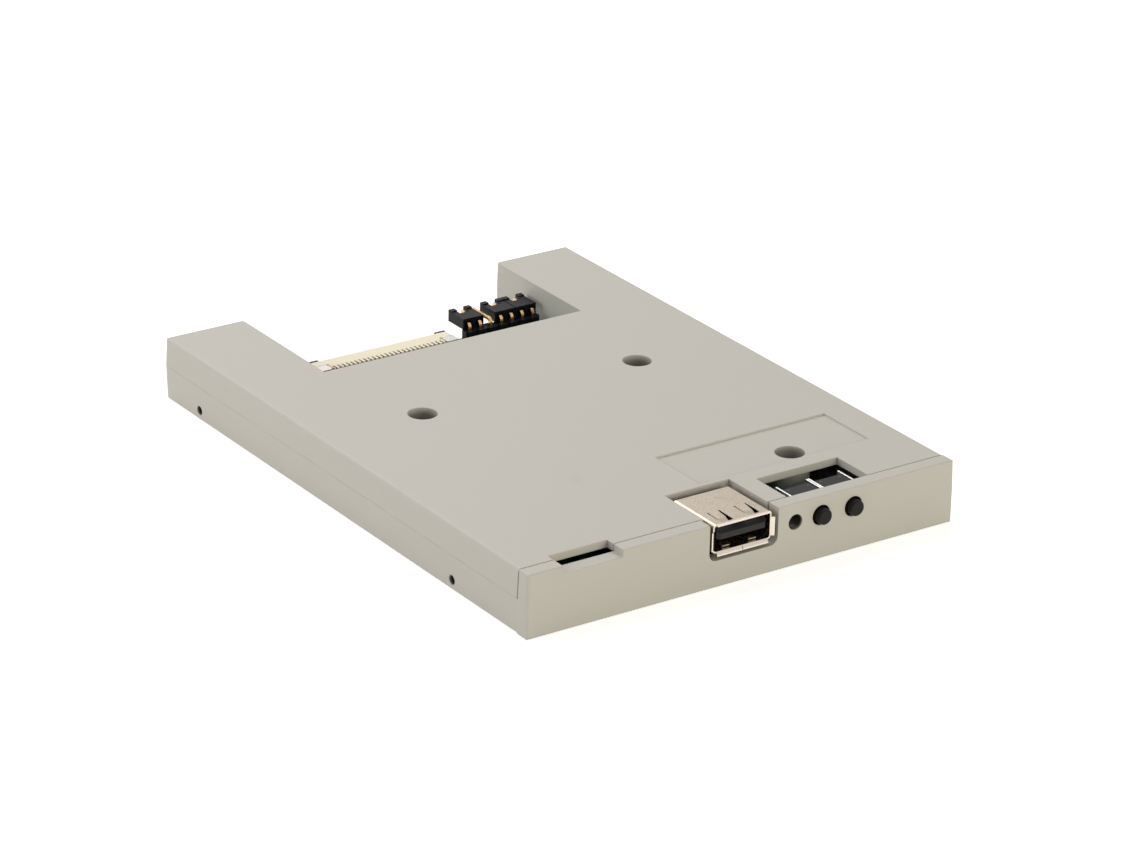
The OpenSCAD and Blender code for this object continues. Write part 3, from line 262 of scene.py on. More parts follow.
def hole_shade(finish, look, wells, front_bores, side_bores):
    """How much painted shade a place of the case gets, in its screw wells and its small bores."""
    x, y, z = finish.axes()
    wall = look.shaded_wall
    top = wells[0].z
    front = front_bores[0].y
    from_side = side_bores[0].x - finish.math("ABSOLUTE", x)
    front_middles = [(bore.x, bore.z) for bore in front_bores]
    side_middles = [(bore.y, bore.z) for bore in side_bores]
    in_well = finish.spots(x, y, wells, look.well_shade_radius, look.soft_edge)
    in_bore = finish.spots(x, z, front_middles, look.bore_shade_radius, look.soft_edge)
    in_side = finish.spots(y, z, side_middles, look.side_shade_radius, look.soft_edge)
    well_depth = finish.within(z, top - 2 * wall, top - look.well_shade_depth, look.well_shade_depth)
    bore_depth = finish.within(y, front + look.bore_shade_depth, front + wall, look.bore_shade_depth)
    side_depth = finish.within(from_side, look.side_shade_depth, wall, look.side_shade_fade)
    shaded = in_well * well_depth * look.well_shade + in_bore * bore_depth * look.bore_shade
    return finish.math("MINIMUM", shaded + in_side * side_depth * look.bore_shade, look.deepest_shade)


def case_plastic(name, look, wells, front_bores, side_bores, scuffs, seam_front):
    """The case's warm grey: eroded grain, dust, a sink mark, a patchy seam, scuffs, a painted highlight on
    sharp edges and painted shade in deep holes.
    """
    finish = Finish(name)
    soft = look.soft_edge
    x, y, z = finish.axes()
    drift = finish.swing(look.drift_size, detail=3)
    flow = finish.swing(look.drift_size / 4, place=finish.stretched((1, 0.2, 1)))
    grain = finish.swing(look.grain_size, detail=3, roughness=0.6)
    speck = finish.specks(look.dust_spacing, core=0.006, rim=0.016, rarity=0.5)
    sink = finish.spot(x, y, look.sink_mark, look.sink_radius, look.sink_radius)
    seam = finish.within(z, look.seam_height - soft, look.seam_height + soft, 2 * soft)
    seam = seam * finish.above(y, seam_front) * finish.above(finish.math("ABSOLUTE", x), look.seam_reach)
    patchy = finish.clear_of(finish.noise(look.drift_size / 3), low=0.35, high=0.65)
    scratch = finish.noise(look.scratch_size, 3, finish.stretched((0.35, 0.35, 1), turn=(0.5, 0.4, 0)))
    scratched = finish.clear_of(scratch, low=0.62, high=0.66)
    rounded = finish.rounded(look.edge_radius)
    tone = 1 + drift * look.drift_tone + flow * look.flow_tone + grain * look.grain_tone
    tone = tone - speck * look.dust_shade - sink * look.sink_shade
    # Painted highlight: sharp edges are made lighter in colour.
    tone = tone - seam * patchy * look.seam_shade + finish.edge_highlight_mask(rounded) * look.painted_edge_highlight
    for low, high in scuffs:
        flat = finish.within(x, low.x, high.x, soft) * finish.within(y, low.y, high.y, soft)
        tone = tone + flat * finish.within(z, low.z, high.z, soft) * scratched * look.scratch_shine
    # Painted shade: deep holes are blended towards a dark brown.
    shaded = hole_shade(finish, look, wells, front_bores, side_bores)
    return finish.done(
        Base_Color=finish.blend(shaded, finish.shade(look.plastic_color, tone), look.shade_color),
        Roughness=look.roughness + grain * look.grain_roughness + drift * look.drift_roughness,
        Normal=finish.relief(grain, look.grain_depth, rounded),
        Specular_IOR_Level=look.gloss,
    )


def plated_metal(name, color, look, roughness, stain_share=0.3, along=(1, 0.15, 1), highlight_before=None):
    """Plated sheet: rolled streaks one way, cloudy stains, a softened edge and a front lightened as a
    painted highlight.
    """
    finish = Finish(name)
    streak = finish.noise(look.streak_size, 3, finish.stretched(along))
    cloud = finish.noise(look.stain_size, 4, roughness=0.6)
    fine = finish.noise(look.stain_size / 8)
    stained = finish.clear_of(cloud, low=0.42, high=0.7) * stain_share
    tone = 1 + (streak - 0.5) * look.streak_tone + (fine - 0.5) * look.fine_tone
    uneven = (cloud - 0.5) * look.cloud_roughness + (streak - 0.5) * look.streak_roughness
    height = streak + fine * look.fine_share
    plating = finish.blend(stained, color, look.stain_color)
    # Painted highlight: the front, up to a place along y, is blended to a lighter colour.
    if highlight_before is not None:
        lightened = 1 - finish.clear_of(finish.axes()[1], highlight_before, highlight_before + look.lip_highlight_fade)
        plating = finish.blend(lightened * look.lip_highlight_share, plating, look.lip_highlight_color)
    return finish.done(
        Base_Color=finish.shade(plating, tone),
        Metallic=1.0,
        Roughness=roughness + uneven,
        Normal=finish.relief(height, look.streak_depth, finish.rounded(look.edge_radius)),
    )


def solder_mask(name, look, socket_low, socket_high):
    """A board under green mask: runs of tracks each way, plated holes, painted shade under the socket."""
    finish = Finish(name)
    x, y = finish.axes()[:2]
    run_share = 0.34
    block = finish.cells(look.track_block, output="Color", metric="CHEBYCHEV")
    track_x = finish.lanes(x, look.track_spacing) * finish.above(run_share, block)
    track_y = finish.lanes(y, look.track_spacing) * finish.above(block, 1 - run_share)
    plane = finish.clear_of(finish.noise(look.track_block, detail=0), low=0.56, high=0.57)
    track = finish.math("MAXIMUM", track_y + track_x, plane)
    from_hole = finish.cells(look.via_spacing)
    plated = 1 - finish.clear_of(from_hole, low=0.16, high=0.18)
    drilled = 1 - finish.clear_of(from_hole, low=0.07, high=0.08)
    weave = finish.swing(look.track_spacing)
    green = finish.blend(track, look.mask_color, look.track_color)
    surface = finish.blend(drilled, finish.blend(plated, green, look.pad_color), look.drill_color)
    # Painted shade: the board under the socket is darkened.
    edge = look.socket_shade_edge
    under = finish.within(x, socket_low.x, socket_high.x, edge)
    under = under * finish.within(y, socket_low.y, socket_high.y, edge)
    return finish.done(
        Base_Color=finish.shade(surface, (1 + weave * look.weave) * (1 - under * look.socket_shade)),
        Roughness=look.roughness + weave * look.weave + plated * look.pad_roughness,
        Normal=finish.relief(track + plated * look.rim_rise - drilled * look.drill_drop, look.track_height),
        Coat_Weight=look.coat,
    )


def clear_epoxy(name, color, look):
    """The lamp's cast epoxy, darkened as painted shade, with flow marks that only catch light."""
    finish = Finish(name)
    swirl = finish.noise(look.stain_size, detail=3)
    return finish.done(
        Base_Color=finish.shade(color, 1 + (swirl - 0.5) * 0.08),
        Roughness=0.06 + swirl * 0.06,
        Normal=finish.relief(swirl, look.streak_depth),
        Transmission_Weight=0.6,
        IOR=1.54,
        Specular_IOR_Level=0.3,
    )


def canned_capacitor(name, look, foot_top, lid, mark_edge):
    """Aluminium cans on black feet, with a dark polarity mark on the left of each lid."""
    finish = Finish(name)
    crisp = 0.05 * MM
    x, y, z = finish.axes()
    fine = finish.noise(look.streak_size, 3, finish.stretched((1, 1, 0.1)))
    foot = 1 - finish.clear_of(z, foot_top, foot_top + crisp)
    marked = 1 - finish.clear_of(x, mark_edge, mark_edge + crisp)
    marked = marked * finish.clear_of(z, lid, lid + crisp)
    metal = finish.shade(look.can_color, 1 + (fine - 0.5) * look.streak_tone)
    return finish.done(
        Base_Color=finish.blend(foot, finish.blend(marked, metal, look.can_mark_color), look.can_foot_color),
        Metallic=(1 - foot) * (1 - marked),
        Roughness=0.3 + foot * 0.2 + (fine - 0.5) * 0.15,
        Normal=finish.relief(fine, look.streak_depth, finish.rounded(look.edge_radius)),
    )


def banded_chip(name, look, row_middle):
    """Chip resistors: black glaze between two tinned ends."""
    finish = Finish(name)
    crisp = 0.04 * MM
    off_middle = finish.math("ABSOLUTE", finish.axes()[1] - row_middle)
    tinned = finish.clear_of(off_middle, look.glaze_half, look.glaze_half + crisp)
    grain = finish.noise(look.streak_size, detail=3)
    body = finish.shade(look.glaze_color, 1 + (grain - 0.5) * 0.2)
    return finish.done(
        Base_Color=finish.blend(tinned, body, look.tin_color),
        Metallic=tinned,
        Roughness=0.3 + grain * 0.15,
        Normal=finish.relief(grain, look.streak_depth, finish.rounded(look.edge_radius)),
    )


def dress(material, *nodes):
    """Gives carried-over solids their finish."""
    for name in nodes:
        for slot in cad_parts[name].material_slots:
            slot.material = material


# Modelling by hand, in code


def start_shaping(name):
    """Names the primitive just added, and opens it with nothing selected."""
    piece = bpy.context.object
    piece.name = name
    bpy.ops.object.mode_set(mode="EDIT")
    bpy.ops.mesh.select_all(action="DESELECT")
    return piece


def pick_faces(piece, wanted):
    """Selects the faces that pass a test, and no others."""
    mesh = bmesh.from_edit_mesh(piece.data)
    for face in mesh.faces:
        face.select_set(wanted(face))
    bmesh.update_edit_mesh(piece.data)


def stop_shaping(smooth_angle=35):
    """Turns the open piece's faces outwards, closes it and smooths its shallow edges."""
    bpy.ops.mesh.select_all(action="SELECT")
    bpy.ops.mesh.normals_make_consistent(inside=False)
    bpy.ops.object.mode_set(mode="OBJECT")
    bpy.ops.object.shade_smooth_by_angle(angle=math.radians(smooth_angle))


def repeat(piece, places, name):
    """Copies a piece made at the origin to each place, and joins the copies into one piece."""
    copies = []
    for place in places:
        copy = piece.copy()
        copy.data = piece.data.copy()
        copy.data.transform(Matrix.Translation(place))
        bpy.context.scene.collection.objects.link(copy)
        copies.append(copy)
    bpy.data.objects.remove(piece)
    bpy.ops.object.select_all(action="DESELECT")
    for copy in copies:
        copy.select_set(True)
    bpy.context.view_layer.objects.active = copies[0]
    if len(copies) > 1:
        bpy.ops.object.join()
    joined = bpy.context.object
    joined.name = name
    return joined


def finish_piece(piece, material, body):
    """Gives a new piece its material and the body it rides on."""
    piece.data.materials.clear()
    piece.data.materials.append(material)
    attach(piece, body)


# What a user would change


def color_choice(name, description, default):
    return FloatVectorProperty(
        name=name, description=description, default=default, size=3, min=0, max=1, subtype="COLOR"
    )


def place_choice(name, description, default):
    return FloatVectorProperty(
        name=name, description=description, default=default, size=3, subtype="TRANSLATION"
    )


def number_choice(name, description, default, **limits):
    return FloatProperty(name=name, description=description, default=default, **limits)


def length_choice(name, description, default):
    return number_choice(name, description, default, min=0, unit="LENGTH", precision=6)


def share_choice(name, description, default):
    return number_choice(name, description, default, min=0, max=1, subtype="FACTOR")


def power_choice(name, description, default):
    return number_choice(name, description, default, min=0, unit="POWER")


def turn_choice(name, description, degrees):
    return number_choice(name, description, math.radians(degrees), unit="ROTATION")


class CaseLook(bpy.types.PropertyGroup):
    """The moulded case."""

    plastic_color: color_choice("Plastic", "Warm grey of the case", (0.565, 0.54, 0.485))
    roughness: share_choice("Roughness", "Roughness of the eroded plastic", 0.46)
    gloss: share_choice("Gloss", "Strength of its plain reflection", 0.4)
    grain_size: length_choice("Grain size", "Size of the eroded grain", 0.28 * MM)
    grain_depth: length_choice("Grain depth", "Depth of the eroded grain", 0.006 * MM)
    grain_tone: share_choice("Grain tone", "How far the grain changes the tone", 0.03)
    grain_roughness: share_choice("Grain roughness", "How far the grain changes the roughness", 0.12)
    edge_radius: length_choice("Edge radius", "Rounding of the moulded edges", 0.22 * MM)
    # Painted highlight: how much lighter the sharp edges are drawn.
    painted_edge_highlight: share_choice("Edge shine", "How much lighter rubbed edges are", 0.1)
    drift_size: length_choice("Drift", "Size of the slow changes of tone", 24 * MM)
    drift_tone: share_choice("Drift tone", "How far they change the tone", 0.02)
    drift_roughness: share_choice("Drift roughness", "How far they change the roughness", 0.06)
    flow_tone: share_choice("Flow tone", "How far flow marks change the tone", 0.012)
    dust_spacing: length_choice("Dust spacing", "Distance between specks of dust", 11 * MM)
    dust_shade: share_choice("Dust shade", "How much darker a speck is", 0.3)
    sink_mark: place_choice("Sink mark", "Place of a faint mark on the top", (-17.46 * MM, -34.19 * MM, 0))
    sink_radius: length_choice("Sink radius", "Radius of that mark", 1.9 * MM)
    sink_shade: share_choice("Sink shade", "How much darker its middle is", 0.045)
    seam_height: length_choice("Seam height", "Height at which the two shells meet", 7 * MM)
    seam_start: length_choice("Seam start", "How far behind the front the seam starts", 3.3 * MM)
    seam_reach: length_choice("Seam reach", "Where the seam starts, from the middle", 28 * MM)
    seam_shade: share_choice("Seam shade", "How much darker the seam is", 0.35)
    # Painted shade in deep holes: its colour, reach, depth and strength, down to the side holes.
    shade_color: color_choice("Shade", "Brown dark at the bottom of a deep hole", (0.03, 0.02, 0.015))
    shaded_wall: length_choice("Shaded wall", "How far into the case that shade goes", 3.6 * MM)
    deepest_shade: share_choice("Deepest shade", "The most that any hole is shaded", 0.96)
    soft_edge: length_choice("Soft edge", "Width over which shade, seam and scuffs fade", 0.02 * MM)
    rear_well: place_choice("Rear well", "Place of the right rear screw well", (24.9 * MM, 6.6 * MM, 0))
    front_well: place_choice("Front well", "Place of the front screw well", (24.3 * MM, -44.1 * MM, 0))
    well_shade: share_choice("Well shade", "How much darker the screw wells are", 0.5)
    well_shade_radius: length_choice("Well shade radius", "Its reach round a well", 2.95 * MM)
    well_shade_depth: length_choice("Well shade depth", "Depth at which it is full", 1.6 * MM)
    bore_shade: share_choice("Bore shade", "How much darker the small holes are", 0.96)
    bore_shade_radius: length_choice("Bore shade radius", "Its reach round a front hole", 2.05 * MM)
    bore_shade_depth: length_choice("Bore shade depth", "Depth at which it is full in front", 0.7 * MM)
    front_side_hole: place_choice("Front side hole", "Front hole of each side", (0, -39.2 * MM, 1.95 * MM))
    rear_side_hole: place_choice("Rear side hole", "Rear hole of each side", (0, 51.5 * MM, 1.95 * MM))
    side_shade_radius: length_choice("Side shade radius", "Its reach round a side hole", 1.1 * MM)
    side_shade_depth: length_choice("Side shade depth", "Depth at which it is full there", 0.9 * MM)
    side_shade_fade: length_choice("Side shade fade", "Depth over which it grows there", 0.8 * MM)
    bay_gap: length_choice("Bay gap", "From the socket to the right wall of its bay", 1.07 * MM)
    bay_half: length_choice("Bay half", "Half of the scuffed width of its rear wall", 8 * MM)
    bay_depth: length_choice("Bay depth", "From the front to that rear wall", 15.1 * MM)
    scuff_start: length_choice("Scuff start", "Where scuffs start behind the front", 3.5 * MM)
    scratch_size: length_choice("Scratch size", "Width of the scuffs' fine scratches", 0.35 * MM)
    scratch_shine: share_choice("Scratch shine", "How much lighter the scratches are", 0.22)


class MetalLook(bpy.types.PropertyGroup):
    """Plated and tinned metals, and the small parts made of them."""

    shell_color: color_choice("Shell", "Nickel of the socket's shell", (0.53, 0.46, 0.37))
    stain_color: color_choice("Stain", "Brown of the cloudy stains", (0.36, 0.27, 0.19))
    # Painted highlight on the socket's lips: colour, share, depth and fade of their lighter front.
    lip_highlight_color: color_choice("Rubbed", "Bright warm nickel of the socket's lips", (0.9, 0.82, 0.72))
    lip_highlight_share: share_choice("Rubbed share", "How far the lips are rubbed bright", 0.6)
    lip_highlight_depth: length_choice("Rubbed depth", "How far back the lips are rubbed", 0.4 * MM)
    lip_highlight_fade: length_choice("Rubbed fade", "Length over which that fades", 0.2 * MM)
    tin_color: color_choice("Tin", "Tinned leads and solder", (0.5, 0.5, 0.48))
    bracket_color: color_choice("Brackets", "Bright tin of the switch brackets", (0.9, 0.9, 0.88))
    gold_color: color_choice("Gold", "Plated pins and contacts", (0.83, 0.5, 0.24))
    screw_color: color_choice("Screws", "Zinc-plated screws", (0.6, 0.6, 0.58))
    streak_size: length_choice("Streaks", "Width of the rolled streaks", 0.12 * MM)
    streak_depth: length_choice("Streak depth", "Depth of the rolled streaks", 0.0015 * MM)
    streak_tone: share_choice("Streak tone", "How far the streaks change the tone", 0.16)
    streak_roughness: share_choice("Streak roughness", "How far they change the roughness", 0.1)
    stain_size: length_choice("Stains", "Size of the cloudy stains", 1.3 * MM)
    cloud_roughness: share_choice("Cloud roughness", "How far the stains change the roughness", 0.14)
    fine_tone: share_choice("Fine tone", "How far the fine cloud changes the tone", 0.1)
    fine_share: share_choice("Fine share", "Its height, as a share of the streaks'", 0.5)
    edge_radius: length_choice("Edge radius", "Rounding of the sheared edges", 0.05 * MM)
    can_color: color_choice("Cans", "Aluminium of the capacitors", (0.72, 0.72, 0.72))
    can_mark_color: color_choice("Can mark", "Polarity mark on a can", (0.02, 0.02, 0.025))
    can_foot_color: color_choice("Can foot", "Black foot under the cans", (0.015, 0.015, 0.016))
    can_foot: length_choice("Foot height", "Height of the cans' feet", 0.9 * MM)
    can_lid: length_choice("Lid", "Height of the cans' crimped lids", 0.2 * MM)
    can_mark: length_choice("Mark edge", "From a can's middle to its mark's edge", 1.2 * MM)
    glaze_color: color_choice("Glaze", "Black glaze of the chip resistors", (0.02, 0.02, 0.022))
    glaze_half: length_choice("Glaze half", "Half the length of a resistor's glaze", 0.6 * MM)
    rivet_color: color_choice("Rivets", "Dull copper of the switches' rivets", (0.13, 0.055, 0.035))
    rivet_radius: length_choice("Rivet radius", "Radius of a rivet's head", 0.24 * MM)
    rivet_height: length_choice("Rivet height", "Height of a rivet's head", 0.16 * MM)
    rivet_edge: length_choice("Rivet edge", "Rounding of a rivet's head", 0.05 * MM)
    rivet_spread: length_choice("Rivet spread", "From a switch's middle to each rivet", 2.2 * MM)
    rivet_inset: length_choice("Rivet inset", "From a switch's rear to its rivets", 0.9 * MM)
    rivet_sink: length_choice("Rivet sink", "How far a head's middle is below the top", 0.02 * MM)


class DarkLook(bpy.types.PropertyGroup):
    """Black and cream mouldings."""

    insulator_color: color_choice("Insulator", "The socket's tongue", (0.021, 0.021, 0.022))
    switch_color: color_choice("Switches", "Switch bodies", (0.022, 0.022, 0.024))
    button_color: color_choice("Buttons", "Push buttons", (0.01, 0.009, 0.008))
    cap_color: color_choice("Jumper caps", "Jumper caps and the pin header", (0.005, 0.005, 0.007))
    chip_color: color_choice("Chips", "Epoxy of the chips", (0.024, 0.024, 0.026))
    # Painted shade: the lamp is coloured dark for the shade in its hole.
    shaded_lamp_color: color_choice("Lamp", "Epoxy of the lamp", (0.05, 0.042, 0.032))
    mottle: share_choice("Mottle", "How far grain and drift change the black tones", 0.2)
    grain_size: length_choice("Grain size", "Size of the moulded grain", 0.12 * MM)
    grain_depth: length_choice("Grain depth", "Depth of the moulded grain", 0.004 * MM)
    grain_roughness: share_choice("Grain roughness", "How far the grain changes the roughness", 0.12)
    edge_radius: length_choice("Edge radius", "Rounding of the edges", 0.07 * MM)
    drift_size: length_choice("Drift", "Size of the slow changes of tone", 6 * MM)
    drift_roughness: share_choice("Drift roughness", "How far they change the roughness", 0.1)
    dust_spacing: length_choice("Dust spacing", "Distance between specks of dust", 5 * MM)
    dust_lift: share_choice("Dust lift", "How much lighter a speck is", 0.6)
    cream_color: color_choice("Cream", "Housing of the ribbon connector", (1.0, 0.9, 0.69))
    cream_mottle: share_choice("Cream mottle", "How far grain and drift change the cream", 0.05)
    # Painted shade in the contact slits: its strength, reach and rim.
    slit_shade: share_choice("Slit shade", "How much darker the contact slits are", 0.88)
    slit_depth: length_choice("Slit depth", "How far back the contact slits reach", 1.45 * MM)
    slit_rim: length_choice("Slit rim", "Height over which it fades at the top", 0.16 * MM)


class BoardLook(bpy.types.PropertyGroup):
    """The circuit board and its solder joints."""

    mask_color: color_choice("Mask", "Solder mask over bare board", (0.007, 0.14, 0.095))
    track_color: color_choice("Tracks", "Solder mask over copper", (0.014, 0.23, 0.155))
    pad_color: color_choice("Pads", "Plated pads", (0.62, 0.6, 0.52))
    drill_color: color_choice("Drills", "Dark inside of the plated holes", (0.01, 0.01, 0.01))
    roughness: share_choice("Roughness", "Roughness of the mask", 0.32)
    pad_roughness: share_choice("Pad roughness", "How much rougher the pads are", 0.05)
    weave: share_choice("Weave", "How far the board's cloth changes tone and roughness", 0.12)
    coat: share_choice("Coat", "Clear coat over the mask", 0.4)
    track_spacing: length_choice("Track spacing", "Distance between tracks", 0.8 * MM)
    track_block: length_choice("Track block", "Size of a run of tracks", 9 * MM)
    track_height: length_choice("Track height", "How far tracks stand up", 0.03 * MM)
    via_spacing: length_choice("Hole spacing", "Distance between plated holes", 3.4 * MM)
    rim_rise: number_choice("Rim rise", "Height of a plated rim, in track heights", 1.5, min=0)
    drill_drop: number_choice("Drill drop", "Depth of a plated hole, in track heights", 2, min=0)
    # Painted shade on the board under the socket.
    socket_shade: share_choice("Socket shade", "How much darker the board under the socket is", 0.9)
    socket_shade_edge: length_choice("Socket shade edge", "Width over which that fades", 0.4 * MM)
    pin_half: length_choice("Pin half", "Half the thickness of a header pin", 0.32 * MM)
    joint_radius: length_choice("Joint radius", "Foot of a solder joint", 0.9 * MM)
    joint_height: length_choice("Joint height", "Height of a solder joint", 0.6 * MM)


class StudioLook(bpy.types.PropertyGroup):
    """Light and camera."""

    sky_level: number_choice("Sky level", "Even light from all round", 0.42, min=0)
    rear_power: power_choice("Rear power", "Soft lamp above and behind", 6.2)
    rear_place: place_choice("Rear lamp", "Place of that lamp", (0.1, 0.65, 0.85))
    rear_size: length_choice("Rear size", "Width of that lamp", 0.9)
    rear_color: color_choice("Rear tint", "Colour of that lamp", (1, 0.99, 0.97))
    left_power: power_choice("Left power", "Low lamp on the left", 3.6)
    left_place: place_choice("Left lamp", "Place of that lamp", (-0.95, 0.35, 0.3))
    left_size: length_choice("Left size", "Width of that lamp", 0.6)
    left_color: color_choice("Left tint", "Colour of that lamp", (1, 1, 0.99))
    front_power: power_choice("Front power", "Low warm lamp in front", 4.0)
    front_place: place_choice("Front lamp", "Place of that lamp", (0.2, -0.95, 0.22))
    front_size: length_choice("Front size", "Width of that lamp", 0.5)
    front_color: color_choice("Front tint", "Colour of that lamp", (1, 0.96, 0.8))
    floor_size: length_choice("Floor size", "Width of the floor", 6)
    floor_color: color_choice("Floor", "The pale floor", (0.8, 0.79, 0.765))
    floor_lift: number_choice("Floor lift", "How far the floor is whitened for the camera", 0.62, min=0)
    fibre_size: length_choice("Fibres", "Size of the floor's paper fibres", 0.4 * MM)
    lens: number_choice("Lens", "Focal length, in millimetres", 146.74, min=1, unit="CAMERA")
    sensor_width: number_choice("Sensor", "Its width, in millimetres", 36, min=1, unit="CAMERA")
    camera_azimuth: turn_choice("Azimuth", "Turn of the camera round the object", -34.787)
    camera_elevation: turn_choice("Elevation", "Rise of the camera over the floor", 23.533)
    camera_roll: turn_choice("Roll", "Turn of the camera round its own axis", 1.284)
    camera_distance: length_choice("Distance", "From the camera to its target", 894.079 * MM)
    camera_target: place_choice("Target", "What the camera looks at", (3.559 * MM, -1.626 * MM, 6.35 * MM))


class EmulatorLooks(bpy.types.PropertyGroup):
    """All looks together."""

    case: PointerProperty(type=CaseLook)
    metal: PointerProperty(type=MetalLook)
    dark: PointerProperty(type=DarkLook)
    board: PointerProperty(type=BoardLook)
    studio: PointerProperty(type=StudioLook)


# One operator for each piece or group of like pieces


class EMULATOR_OT_finish_case(bpy.types.Operator):
    """Finish the case halves in eroded warm grey plastic, and the screws that close them"""

    bl_idname = "emulator.finish_case"
    bl_label = "Finish Case"

    def execute(self, context):
        looks = context.scene.emulator_looks
        case = looks.case
        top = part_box("top_cover")[1].z
        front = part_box("bottom_case")[0].y
        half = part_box("bottom_case")[1].x
        wells = [
            Vector((-case.rear_well[0], case.rear_well[1], top)),
            Vector((case.rear_well[0], case.rear_well[1], top)),
            Vector((case.front_well[0], case.front_well[1], top)),
        ]
        bores = [sum(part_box(node), Vector()) / 2 for node in ("status_led", "left_button", "right_button")]
        for bore in bores:
            bore.y = front
        sides = [Vector((half, hole[1], hole[2])) for hole in (case.front_side_hole, case.rear_side_hole)]
        scuffs = self.scuffed_walls(case, front, top)
        plastic = case_plastic("case_plastic", case, wells, bores, sides, scuffs, front + case.seam_start)
        dress(plastic, "bottom_case", "top_cover")
        metal = looks.metal
        zinc = plated_metal("screw_zinc", metal.screw_color, metal, 0.3, stain_share=0.1, along=(1, 1, 1))
        dress(zinc, "case_screws")
        return {"FINISHED"}

    def scuffed_walls(self, case, front, top):
        """Thin boxes round the rear and right walls of the socket's bay, as low and high corners."""
        rim = 0.1 * MM
        behind_rear = 0.3 * MM
        before_right = 1.5 * MM
        behind_right = 1 * MM
        wall_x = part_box("usb_shell")[1].x + case.bay_gap
        wall_y = front + case.bay_depth
        rear_low = Vector((-case.bay_half, wall_y, 0))
        rear_high = Vector((case.bay_half, wall_y + behind_rear, top - rim))
        right_low = Vector((wall_x - before_right, front + case.scuff_start, 0))
        right_high = Vector((wall_x + behind_right, wall_y - rim, top - rim))
        return [(rear_low, rear_high), (right_low, right_high)]


class EMULATOR_OT_finish_socket(bpy.types.Operator):
    """Finish the socket: stained nickel shell, glossy black tongue, gold contacts"""

    bl_idname = "emulator.finish_socket"
    bl_label = "Finish Socket"

    def execute(self, context):
        looks = context.scene.emulator_looks
        metal, dark = looks.metal, looks.dark
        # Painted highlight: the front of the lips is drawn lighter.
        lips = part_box("usb_shell")[0].y + metal.lip_highlight_depth
        nickel = plated_metal(
            "shell_nickel", metal.shell_color, metal, 0.26, stain_share=0.45, highlight_before=lips
        )
        dress(nickel, "usb_shell", "crystal_can")
        tongue = moulded_plastic("tongue_plastic", dark.insulator_color, dark, 0.34, gloss=0.22)
        dress(tongue, "usb_insulator")
        gold = plated_metal(
            "contact_gold", metal.gold_color, metal, 0.24, stain_share=0.2, along=(0.2, 1, 1)
        )
        dress(gold, "usb_contacts", "header_pins", "ribbon_contacts")
        dress(gold, "left_jumper_clip", "middle_jumper_clip", "right_jumper_clip")
        return {"FINISHED"}


class EMULATOR_OT_finish_switches(bpy.types.Operator):
    """Finish the two switches and their brackets, and add the copper rivets on their tops"""

    bl_idname = "emulator.finish_switches"
    bl_label = "Finish Switches"

    def execute(self, context):
        looks = context.scene.emulator_looks
        metal, dark = looks.metal, looks.dark
        body = moulded_plastic("switch_plastic", dark.switch_color, dark, 0.45)
        dress(body, "left_switch_base", "right_switch_base")
        bright = plated_metal("bracket_tin", metal.bracket_color, metal, 0.34, stain_share=0.08)
        dress(bright, "left_switch_bracket", "right_switch_bracket", "switch_terminals")
        dress(bright, "left_switch_dome", "right_switch_dome")
        copper = plated_metal("rivet_copper", metal.rivet_color, metal, 0.3, stain_share=0.2)
        upright = 0.9
        for side in ("left", "right"):
            low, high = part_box(side + "_switch_base")
            middle = (low + high) / 2
            bpy.ops.mesh.primitive_cylinder_add(
                vertices=ROUND_CORNERS, radius=metal.rivet_radius, depth=metal.rivet_height
            )
            rivet = start_shaping("rivet")
            pick_faces(rivet, lambda face: face.normal.z > upright)
            bpy.ops.mesh.bevel(offset=metal.rivet_edge, segments=3, affect="EDGES")
            stop_shaping()
            row_y, row_z = high.y - metal.rivet_inset, high.z - metal.rivet_sink
            places = [Vector((middle.x + way * metal.rivet_spread, row_y, row_z)) for way in (-1, 1)]
            rivets = repeat(rivet, places, side + "_switch_rivets")
            finish_piece(rivets, copper, "case")
        return {"FINISHED"}


class EMULATOR_OT_finish_buttons(bpy.types.Operator):
    """Finish the two push buttons in satin black"""

    bl_idname = "emulator.finish_buttons"
    bl_label = "Finish Buttons"

    def execute(self, context):
        dark = context.scene.emulator_looks.dark
        satin = moulded_plastic("button_plastic", dark.button_color, dark, 0.42)
        dress(satin, "left_button", "right_button")
        return {"FINISHED"}


class EMULATOR_OT_finish_lamp(bpy.types.Operator):
    """Finish the lamp in cast epoxy and its leads in tin"""

    bl_idname = "emulator.finish_lamp"
    bl_label = "Finish Lamp"

    def execute(self, context):
        looks = context.scene.emulator_looks
        metal = looks.metal
        # Painted shade: the lamp's epoxy is given a dark colour.
        dress(clear_epoxy("lamp_epoxy", looks.dark.shaded_lamp_color, metal), "status_led")
        tin = plated_metal("lead_tin", metal.tin_color, metal, 0.4, stain_share=0.1)
        dress(tin, "led_leads", "controller_leads", "buffer_leads", "ribbon_solder_tabs")
        return {"FINISHED"}


